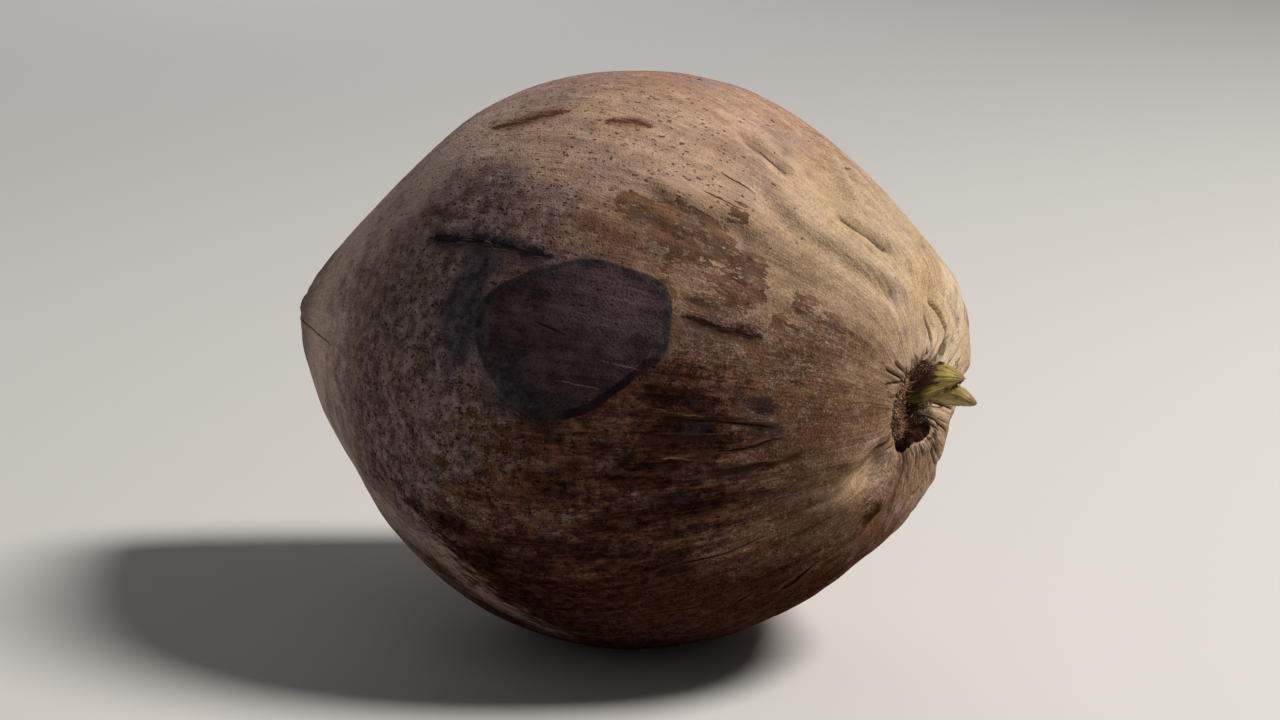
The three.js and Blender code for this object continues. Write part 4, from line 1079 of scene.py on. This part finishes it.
# gouges, cracks and pale strands
g_far = m.abs(gouge_d + (n4 - 0.5) * 3.4 + g1 * 0.7 + (long_b - 0.5) * 2.6)
g_halo = m.math("SUBTRACT", 1.0, m.step(gouge_w * 0.9, gouge_w * 2.6 + 0.5, g_far)) * m.step(0.05, 0.5, gouge_w)
g_core = m.math("SUBTRACT", 1.0, m.step(gouge_w * 0.5, gouge_w * 1.15 + 0.1, g_far)) * m.step(0.10, 0.5, gouge_w) * m.step(0.28, 0.5, long_c)
gouge_c = m.mix(m.step(0.2, 0.42, bloom_), m.mix(m.step(0.5, 0.75, pale_), (0.026, 0.0115, 0.0078), (0.110, 0.049, 0.033)), (0.024, 0.019, 0.023))
colour = m.mix(g_halo * 0.68, colour, m.tint(gouge_c, 1.5))
colour = m.mix(g_core * 0.95, colour, m.tint(gouge_c, 0.75))
gouge_in = m.low(1.0, g_core + g_halo * 0.3)


def thin(d_, w_, wobble=0.35, edge=0.14):
    far = m.abs(d_ + (n4 - 0.5) * wobble * 2 + (n1 - 0.5) * wobble)
    return m.math("SUBTRACT", 1.0, m.step(w_ - edge, w_ + edge, far)) * m.step(0.03, 0.12, w_)


strand_in = thin(strand_d, strand_w, 0.6, 0.22) * m.step(0.34, 0.55, long_c + g1 * 0.12)
colour = m.mix(strand_in * 0.66, colour, (0.31, 0.180, 0.115))
crack_in = m.high(thin(crack_a_d, crack_a_w), thin(crack_b_d, crack_b_w))
crack_glow = m.high(thin(crack_a_d, crack_a_w * 2.6, 0.5, 0.5), thin(crack_b_d, crack_b_w * 2.6, 0.5, 0.5))
colour = m.mix(crack_glow * 0.35, colour, (0.10, 0.046, 0.026))
colour = m.mix(crack_in * 0.95, colour, (0.010, 0.0042, 0.0026))

# painted shade and soiling in the creases; pale crests, partly worn skin and partly a painted highlight
colour = m.mix(m.step(0.12, 0.82, shade_and_soiling_ + g1 * 0.16 + f1 * 0.14) * 0.88, colour, (0.034, 0.0165, 0.0100))
colour = m.mix(m.step(0.2, 1.0, edge_ + f1 * 0.30) * 0.45, colour, m.mix(m.clip(dark * 1.4 + worn_ * 0.6), (0.46, 0.33, 0.22), (0.225, 0.128, 0.074)))

# the torn scar
fluff = m.step(0.36, 0.64, n1)
coir_c = m.mix(fluff, (0.026, 0.0120, 0.0070), (0.42, 0.215, 0.104))
coir_c = m.mix(m.step(0.5, 0.7, n4) * 0.6, coir_c, (0.028, 0.0145, 0.0095))
rim_c = m.mix(m.step(0.4, 0.62, n1), (0.05, 0.032, 0.022), (0.31, 0.22, 0.150))
# the strip under the hollow: its own dark tissue, with a painted cast shadow of the shoot and rim
lip_c = m.mix(m.step(0.38, 0.68, n4), (0.0095, 0.0044, 0.0030), (0.034, 0.0165, 0.0110))
pit_c = m.mix(m.step(3.2, 1.6, inside_ + g1 * 0.8), coir_c, rim_c)
pit_c = m.mix(lip_, pit_c, lip_c)
# the hollow is painted near black: painted shade in the recess
pit_c = m.mix(m.step(0.1, 0.6, hollow_ + g1 * 0.2), pit_c, m.tint(coir_c, 0.16))
torn = m.step(-0.1, 0.35, inside_ + g1 * 0.25)
colour = m.mix(torn, colour, pit_c)

# the surface itself, mm
height = (n1 - 0.5) * 0.26 + (n4 - 0.5) * 0.18 + (long_b - 0.5) * 0.14 + (long_c - 0.5) * 0.07
height = height - flaked * 0.24
height = height - crack_in * 0.35 - gouge_in * 0.22 + strand_in * 0.12
height = height - specks * 0.06
height = height + torn * ((n1 - 0.5) * 1.6 * (1.0 - lip_ * 0.7))
rough = 0.72 + (n12 - 0.5) * 0.3 - dark * 0.06 - ring_in * 0.05 + torn * 0.2
m.shader.inputs["Specular IOR Level"].default_value = 0.0
m.finish(colour, m.clip(rough), height)
print("husk material nodes", m.count)
husk.data.materials.append(m.mat)
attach(husk, "root")
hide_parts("husk")

# ---------------------------------------------------------------- the shoot: an outer sheath leaf and the pointed spear under it
def loft(stations, x):
    """Centre y, centre z, half width and half height of a row of sections at x."""
    t = np.array([s[0] for s in stations], float)
    return [knots(t, [s[c] for s in stations], x) for c in (1, 2, 3, 4)]


SPEAR = [(103.6, -0.4, 4.7, 2, 2), (108, -0.3, 5, 3, 3), (112, -0.2, 5, 3.5, 3.5), (116, -0.1, 5, 3.3, 3.3), (119.7, 0, 4.5, 2.6, 2.7), (122, 0, 3.7, 1.7, 1.7), (123.4, 0, 3.4, 0.95, 0.95), (124.35, 0, 3.3, 0.05, 0.05)]
SHEATH = [(92.7, -0.9, 2.4, 3.4, 3.4), (96.5, -0.8, 3, 3.3, 3.3), (101, -0.6, 4, 3.5, 3.5), (105, -0.4, 5.6, 4.5, 4.6), (109, -0.2, 7.9, 6.1, 6.3), (112.5, -0.1, 9.2, 5.3, 5.4),
          (116, 0, 10.1, 3.5, 3.2), (118.6, 0, 10.6, 1.6, 1.2), (119.6, 0.05, 10.75, 0.5, 0.4)]


def sheet(name, outer, inner, layers=None):
    """A leaf with thickness: two grids of points (rows, columns, 3), joined all round."""
    rows, cols = outer.shape[:2]
    points = np.concatenate([outer.reshape(-1, 3), inner.reshape(-1, 3)])
    i, j = np.meshgrid(np.arange(rows - 1), np.arange(cols - 1), indexing="ij")
    a = (i * cols + j).ravel()
    top = np.stack([a, a + 1, a + cols + 1, a + cols], -1)
    low = top[:, ::-1] + rows * cols
    rim = [k for k in range(cols)] + [r * cols + cols - 1 for r in range(1, rows)] + [(rows - 1) * cols + k for k in range(cols - 2, -1, -1)] + [r * cols for r in range(rows - 2, 0, -1)]
    rim = np.array(rim)
    after = np.roll(rim, -1)
    side = np.stack([rim, rim + rows * cols, after + rows * cols, after], -1)
    quads = np.concatenate([top, low, side])
    quads, tris = outward(points, quads, np.zeros((0, 3), int))
    layers = {k: np.concatenate([v[0].reshape((-1,) + v[0].shape[2:]), v[1].reshape((-1,) + v[1].shape[2:])]) for k, v in (layers or {}).items()}
    return new_mesh(name, points, quads, tris, layers)


# the sheath: closed at its base, opening below into a hood with a torn lip
rows, cols = 110, 97
x = np.linspace(92.7, 119.6, rows)
cy, cz, ry, rz = loft(SHEATH, x)
lip_z = 3.8 + math.tan(math.radians(36)) * (x - 109.6)
open_to = np.arccos(np.clip((lip_z - cz) / np.maximum(rz, 0.05), -0.9995, 1))
v = np.linspace(-1, 1, cols)
U, W = np.meshgrid(np.linspace(0, 1, rows), v, indexing="ij")
jag = noise(np.stack([x / 1.5, 0 * x, 0 * x], -1), 61)[:, None] * np.where(W > 0, 0.05, -0.05) + noise(np.stack([x / 0.6, 0 * x + 3, 0 * x], -1), 62)[:, None] * np.where(W > 0, 0.025, -0.025)
free = smooth(104.5, 107.5, x)[:, None]
ang = W * open_to[:, None] + jag * free * np.abs(W) ** 4 * 6
veins = 0.10 * np.sin(ang * 15) + 0.06 * np.sin(ang * 31 + 1.3) + 0.10 * fbm(np.stack([ang * 3, x[:, None] / 9 + 0 * ang, 0 * ang], -1), 3, 63)
curl = 0.5 * np.abs(W) ** 8 * free  # the lip turns out a little
reach = 1 + (veins + curl - 0.05) / np.maximum(np.maximum(ry, rz), 0.6)[:, None] * smooth(0, 0.12, 1 - U)
outer = np.stack([np.repeat(x[:, None], cols, 1) + 0.5 * np.abs(W) ** 3 * noise(np.stack([W * 3, U * 0 + 2, U * 0], -1), 64) * free,
                  cy[:, None] + ry[:, None] * reach * np.sin(-ang), cz[:, None] + rz[:, None] * reach * np.cos(ang)], -1)
centre = np.stack([outer[..., 0], np.repeat(cy[:, None], cols, 1), np.repeat(cz[:, None], cols, 1)], -1)
inwards = centre - outer
inwards /= np.linalg.norm(inwards, axis=-1, keepdims=True) + 1e-6
thick = np.minimum(0.7 - 0.45 * np.abs(W) ** 6, 0.55 * np.minimum(ry, rz)[:, None] + 0.02)
inner = outer + inwards * thick[..., None]
edge_of = smooth(0.80, 1.0, np.abs(W) + 0.10 * noise(np.stack([x[:, None] / 2.0 + 0 * W, W * 4, 0 * W], -1), 65)) * free
tip_of = smooth(0.84, 1.0, U + 0.05 * noise(np.stack([x[:, None] / 2.0 + 0 * W, W * 4, 0 * W + 4], -1), 66))
# darker toward the sheath's base, where it goes down into the pit: painted shade
base_shade = smooth(109.5, 104.0, outer[..., 0] + 1.2 * noise(np.stack([W * 5, U * 9, 0 * W], -1), 67))
leaf_xyz = np.stack([ang * 4.5, outer[..., 0], 0 * ang], -1)
leaf_xyz_in = leaf_xyz + [0, 0, 7.0]
marks = np.stack([np.maximum(edge_of, tip_of), base_shade, W], -1)
# the inner face is darkened a little all over: painted shade inside the hood
marks_in = np.stack([np.maximum(edge_of, tip_of), np.maximum(base_shade, 0.3), W], -1)
sheath = sheet("shoot_sheath_leaf", outer, inner, {"leaf": (leaf_xyz, leaf_xyz_in), "marks": (marks, marks_in)})

# the spear: tightly rolled, with the edge of its outer wrap running down one side
rows, cols = 120, 64
x = 103.6 + (124.35 - 103.6) * (1 - (1 - np.linspace(0, 1, rows)) ** 1.35)
cy, cz, ry, rz = loft(SPEAR, x)
th = np.linspace(0, 2 * np.pi, cols, endpoint=False)
X2, T2 = np.meshgrid(x, th, indexing="ij")
wrap = (T2 - 2.3 - (X2 - 103) * 0.05 + np.pi) % (2 * np.pi) - np.pi
bulge = 0.05 * np.sin(T2 * 11) + 0.03 * np.sin(T2 * 23 + 1) + 0.08 * fbm(np.stack([np.cos(T2) * 1.2, np.sin(T2) * 1.2, X2 / 6], -1), 3, 71)
bulge += np.where(wrap > 0, 0.28 * np.exp(-wrap / 0.7), -0.10 * np.exp(wrap / 0.25)) * smooth(103, 108, X2)
bulge -= 0.12 * smooth(119.5, 123.5, X2) * np.abs(noise(np.stack([np.cos(T2) * 2, np.sin(T2) * 2, X2 / 1.2], -1), 72))
grow = 1 + bulge * np.minimum(1, ry[:, None] / 2.2) / np.maximum(ry, 0.5)[:, None] * 1.0
pts = np.stack([X2, cy[:, None] - ry[:, None] * grow * np.sin(T2), cz[:, None] + rz[:, None] * grow * np.cos(T2)], -1)
rows_all = np.concatenate([pts[0].mean(0)[None], pts[1:-1].reshape(-1, 3), pts[-1].mean(0)[None]])
quads, tris = outward(rows_all, *polar_faces(rows, cols))


def fold2(v):
    return np.concatenate([v[0].mean(0)[None], v[1:-1].reshape((-1,) + v.shape[2:]), v[-1].mean(0)[None]])


seam = np.exp(-np.abs(wrap) / 0.10)
# the spear's second mark darkens it toward its base, inside the sheath: painted shade
spear = new_mesh("shoot_spear_leaf", rows_all, quads, tris, {"leaf": fold2(np.stack([np.cos(T2) * 3, X2, np.sin(T2) * 3], -1)),
                                                                 "marks": fold2(np.stack([smooth(120.2, 123.0, X2 + 0.9 * noise(np.stack([np.cos(T2), np.sin(T2), X2 / 2], -1), 73)), smooth(112.0, 105.0, X2), seam], -1))})


def leaf_material(name, fresh, shade, brown, tip):
    m = Mat(name)
    here = m.place()
    leaf = m.attribute("leaf")
    edge, base, third = m.split(m.attribute("marks"))
    vein = m.noise(m.stretch(leaf, 1, 0.12, 1), 0.55, 4, 0.6)
    broad = m.noise(m.stretch(leaf, 1, 0.35, 1), 3.5, 4, 0.6)
    grain = m.noise(here, 0.45, 3, 0.6)
    c = m.mix(m.step(0.3, 0.7, broad), shade, fresh)
    c = m.mix(m.step(0.5, 0.8, vein) * 0.4, c, tuple(min(1, k * 1.35) for k in fresh))
    c = m.tint(c, 1.0 + (vein - 0.5) * 1.2 + (grain - 0.5) * 0.5)
    speck = m.dots(m.stretch(here, 0.6, 1, 1), 0.9, 0.26, 0.34, 0.1)
    c = m.mix(speck * 0.7, c, brown)
    blot = m.step(0.56, 0.66, m.noise(m.stretch(leaf, 1, 0.4, 1), 1.8, 4, 0.65))
    c = m.mix(blot * 0.62, c, m.mix(m.step(0.4, 0.6, vein), brown, (0.235, 0.118, 0.030)))
    dry = m.step(0.25, 0.75, edge + (broad - 0.5) * 0.8 + (vein - 0.5) * 0.5)
    c = m.mix(dry * 0.9, c, m.mix(m.step(0.35, 0.65, vein), brown, tip))
    # darker toward the base, where the leaf goes down into the pit: painted shade
    c = m.mix(m.step(0.2, 1.0, base) * 0.86, c, (0.040, 0.027, 0.006))
    h = (vein - 0.5) * 0.16 + (grain - 0.5) * 0.05 - speck * 0.03 + dry * (grain - 0.5) * 0.12
    m.shader.inputs["Specular IOR Level"].default_value = 0.4
    return m, c, h, third, dry


m, c, h, third, dry = leaf_material("sheath_leaf", (0.440, 0.345, 0.084), (0.180, 0.132, 0.028), (0.090, 0.045, 0.016), (0.44, 0.25, 0.10))
sheath.data.materials.append(m.finish(c, 0.48 + dry * 0.25, h))
m, c, h, third, dry = leaf_material("spear_leaf", (0.385, 0.305, 0.092), (0.205, 0.158, 0.040), (0.085, 0.048, 0.024), (0.42, 0.235, 0.135))
spear.data.materials.append(m.finish(m.mix(third * 0.6, c, (0.05, 0.04, 0.012)), 0.5 + dry * 0.25, h))
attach(sheath, "root")
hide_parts("shoot_sheath")
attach(spear, "root")
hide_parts("shoot_spear")

# ---------------------------------------------------------------- loose coir, crumbs and a shrivelled scale in the scar
rng = np.random.default_rng(41)
strand_points, strand_faces, strand_tone = [], [], []


def fibre(path, radius, tone):
    """A thin three-sided strand that tapers to its end."""
    path = np.asarray(path)
    n = len(path)
    start = sum(len(p) for p in strand_points)
    along_ = np.gradient(path, axis=0)
    along_ /= np.linalg.norm(along_, axis=1, keepdims=True) + 1e-9
    side = np.cross(along_, [0.3, 0.9, 0.2])
    side /= np.linalg.norm(side, axis=1, keepdims=True) + 1e-9
    up = np.cross(along_, side)
    ring_pts = []
    for k in range(3):
        a = 2 * np.pi * k / 3
        w = radius * (1 - 0.75 * np.linspace(0, 1, n) ** 2)[:, None]
        ring_pts.append(path + (side * np.cos(a) + up * np.sin(a)) * w)
    pts3 = np.stack(ring_pts, 1).reshape(-1, 3)
    strand_points.append(pts3)
    strand_tone.append(np.tile([tone[0], tone[1], 0.0], (len(pts3), 1)))
    for i in range(n - 1):
        for k in range(3):
            a, b = start + i * 3 + k, start + i * 3 + (k + 1) % 3
            strand_faces.append((a, b, b + 3))
            strand_faces.append((a, b + 3, a + 3))
    strand_faces.append((start, start + 2, start + 1))
    e = start + (n - 1) * 3
    strand_faces.append((e, e + 1, e + 2))


def crumb(p, size, tone):
    start = sum(len(q) for q in strand_points)
    shape = np.array([(1, 0, 0), (-1, 0, 0), (0, 1, 0), (0, -1, 0), (0, 0, 1), (0, 0, -1)], float)
    shape = shape * (size * rng.uniform(0.55, 1.3, 3)) * rng.uniform(0.7, 1.2, (6, 1))
    turn_by = Matrix.Rotation(rng.uniform(0, 6.28), 3, Vector(rng.normal(size=3)))
    shape = shape @ np.array(turn_by).T
    strand_points.append(shape + p)
    strand_tone.append(np.tile([tone[0], tone[1], 0.0], (6, 1)))
    for a, b, c in ((0, 2, 4), (2, 1, 4), (1, 3, 4), (3, 0, 4), (2, 0, 5), (1, 2, 5), (3, 1, 5), (0, 3, 5)):
        strand_faces.append((start + a, start + b, start + c))


VN = grid_normals(V.reshape(ROWS, MERIDIANS, 3)).reshape(-1, 3)
open_part = np.flatnonzero(stem_end & (INSIDE > 0.3) & (hollow < 0.75) & (shadowed_lower_lip < 0.5) & (RR > 3))
border = np.flatnonzero(stem_end & (np.abs(INSIDE - 0.2) < 1.0) & (shadowed_lower_lip < 0.4))
weight = AROUND[open_part] + 2
for k in range(620):
    i = open_part[rng.choice(len(open_part), p=weight / weight.sum())]
    p, n = V[i], VN[i]
    outwards = np.array([0.0, qy[i], qz[i]]) / (RR[i] + 1e-6)
    spin = np.cross([1.0, 0, 0], outwards)
    d = n * rng.uniform(0.25, 1.0) + outwards * rng.uniform(-0.9, 0.5) + spin * rng.normal() * 0.7
    d /= np.linalg.norm(d)
    bend_to = rng.normal(size=3) * 0.5 - n * rng.uniform(0.1, 0.8)
    length = rng.uniform(1.2, 3.6) * (0.7 if INSIDE[i] < 1.5 else 1.0)
    t = np.linspace(0, 1, 6)[:, None]
    fibre(p - n * 0.25 + d * length * t + bend_to * length * 0.45 * t**2, rng.uniform(0.07, 0.16), (rng.uniform(), float(INSIDE[i] < 1.6)))
for k in range(560):
    i = open_part[rng.choice(len(open_part), p=weight / weight.sum())]
    crumb(V[i] + VN[i] * rng.uniform(0, 0.3), rng.uniform(0.18, 0.62), (rng.uniform(), float(INSIDE[i] < 2.2)))
for k in range(170):
    i = border[rng.integers(len(border))]
    if from_hollow[i] < 8.5:
        continue
    crumb(V[i] + VN[i] * rng.uniform(0, 0.2), rng.uniform(0.15, 0.45), (rng.uniform(), 1.0))
coir_tufts = new_mesh("scar_coir", np.concatenate(strand_points), np.zeros((0, 4), int), strand_faces, {"kind": np.concatenate(strand_tone)}, smooth_=False)

m = Mat("coir_fibre")
here = m.place()
tone_, grey_, _ = m.split(m.attribute("kind"))
g = m.noise(here, 0.6, 3, 0.6)
c = m.mix(m.step(0.15, 0.9, tone_), (0.062, 0.029, 0.014), (0.46, 0.235, 0.112))
c = m.mix(grey_ * 0.8, c, m.mix(tone_, (0.060, 0.040, 0.030), (0.36, 0.27, 0.19)))
c = m.tint(c, 1.0 + (g - 0.5) * 1.0)
coir_tufts.data.materials.append(m.finish(c, 0.85 + (g - 0.5) * 0.1, (g - 0.5) * 0.1))
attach(coir_tufts, "root")

# a dry purple-brown scale, torn into fibres, wrapped round the near side of the sheath's base
rows, cols = 44, 60
u = np.linspace(0, 1, rows)
w = np.linspace(0, 1, cols)
U, W = np.meshgrid(u, w, indexing="ij")
around_at = np.radians(-58 + 146 * W)  # 0 at the top of the sheath, 90 on its near side
fringe = 1.0 + 0.22 * noise(np.stack([W * 16, 0 * W, 0 * W], -1), 81) + 0.14 * noise(np.stack([W * 45, 0 * W, 0 * W], -1), 82)
long_at = 96.5 + U * ((12.0 + 3.6 * W) * fringe)
cy, cz, ry, rz = [np.interp(long_at, np.linspace(92.7, 119.6, 200), k) for k in loft(SHEATH, np.linspace(92.7, 119.6, 200))]
stand = 0.45 + 1.1 * U**2 * (0.6 + 0.8 * noise(np.stack([W * 6, U * 2, 0 * W], -1), 83)) + 0.25 * np.abs(noise(np.stack([W * 26, U * 3, 0 * W], -1), 84))
outer = np.stack([long_at, cy - (ry + stand) * np.sin(around_at), cz + (rz + stand) * np.cos(around_at)], -1)
inner = np.stack([long_at - 0.02, cy - (ry + stand - 0.22) * np.sin(around_at), cz + (rz + stand - 0.22) * np.cos(around_at)], -1)
at_uv = np.stack([W * 14, U * 9, 0 * W], -1)
scale_leaf = sheet("shoot_dry_scale", outer, inner, {"leaf": (at_uv, at_uv + [0, 0, 3.0])})
m = Mat("dry_scale")
here = m.place()
leaf = m.attribute("leaf")
vein = m.noise(m.stretch(leaf, 1, 0.15, 1), 0.5, 4, 0.65)
blotch = m.noise(leaf, 2.2, 4, 0.6)
c = m.mix(m.step(0.3, 0.7, vein), (0.026, 0.0095, 0.0070), (0.140, 0.066, 0.050))
c = m.mix(m.step(0.5, 0.75, blotch) * 0.7, c, (0.185, 0.105, 0.070))
scale_leaf.data.materials.append(m.finish(c, 0.7 + (blotch - 0.5) * 0.2, (vein - 0.5) * 0.3))
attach(scale_leaf, "root")

# ---------------------------------------------------------------- floor, light and camera
scene = bpy.context.scene
profile = [(0.0, 0.0), (1.2, 0.0), (3.2, 0.0)]
for k in range(1, 13):
    a = math.radians(90 * k / 12)
    profile.append((3.2 + 1.6 * math.sin(a), 1.6 - 1.6 * math.cos(a)))
profile.append((4.8, 3.6))
around = 96
points = [(0.0, 0.0, 0.0)]
for r, z in profile[1:]:
    points += [(r * math.cos(2 * math.pi * j / around), r * math.sin(2 * math.pi * j / around), z) for j in range(around)]
quads = [[1 + i * around + j, 1 + (i + 1) * around + j, 1 + (i + 1) * around + (j + 1) % around, 1 + i * around + (j + 1) % around]
         for i in range(len(profile) - 2) for j in range(around)]
tris = [[0, 1 + j, 1 + (j + 1) % around] for j in range(around)]
floor = new_mesh("studio_floor", np.array(points) * 1000.0 - CENTRE, quads, tris)
paper = bpy.data.materials.new("pale_paper")
paper.use_nodes = True
shader = paper.node_tree.nodes["Principled BSDF"]
shader.inputs["Base Color"].default_value = (0.60, 0.585, 0.565, 1)
shader.inputs["Roughness"].default_value = 0.9
shader.inputs["Specular IOR Level"].default_value = 0.2
floor.data.materials.append(paper)

world = bpy.data.worlds.new("studio")
scene.world = world
world.use_nodes = True
world.node_tree.nodes["Background"].inputs["Color"].default_value = (0.93, 0.96, 1.0, 1)
world.node_tree.nodes["Background"].inputs["Strength"].default_value = 0.10


def area_light(name, towards, distance, width, watts, colour, aim=(0.02, 0.0, 0.1)):
    d = Vector(towards).normalized()
    lamp = bpy.data.lights.new(name, "AREA")
    lamp.shape = "DISK"
    lamp.size = width
    lamp.energy = watts
    lamp.color = colour
    obj = bpy.data.objects.new(name, lamp)
    scene.collection.objects.link(obj)
    obj.location = Vector(aim) + d * distance
    obj.rotation_euler = (-d).to_track_quat("-Z", "Y").to_euler()
    return obj


area_light("key_softbox", (0.573, 0.292, 0.766), 2.6, 0.8, 92, (1.0, 0.965, 0.92))
area_light("edge_softbox", (-0.75, 0.75, 0.35), 2.6, 1.4, 7, (0.90, 0.95, 1.0))

camera_data = bpy.data.cameras.new("camera")
camera_data.lens = LENS
camera_data.sensor_width = 36.0
camera_data.clip_start, camera_data.clip_end = 0.01, 50.0
camera = bpy.data.objects.new("camera", camera_data)
scene.collection.objects.link(camera)
turn = Matrix(((RIGHT[0], UP[0], BACK[0]), (RIGHT[1], UP[1], BACK[1]), (RIGHT[2], UP[2], BACK[2]))).to_4x4()
camera.matrix_world = Matrix.Translation(Vector(to_row(EYE))) @ turn
scene.camera = camera
scene.view_settings.view_transform = "Standard"
scene.view_settings.look = "None"
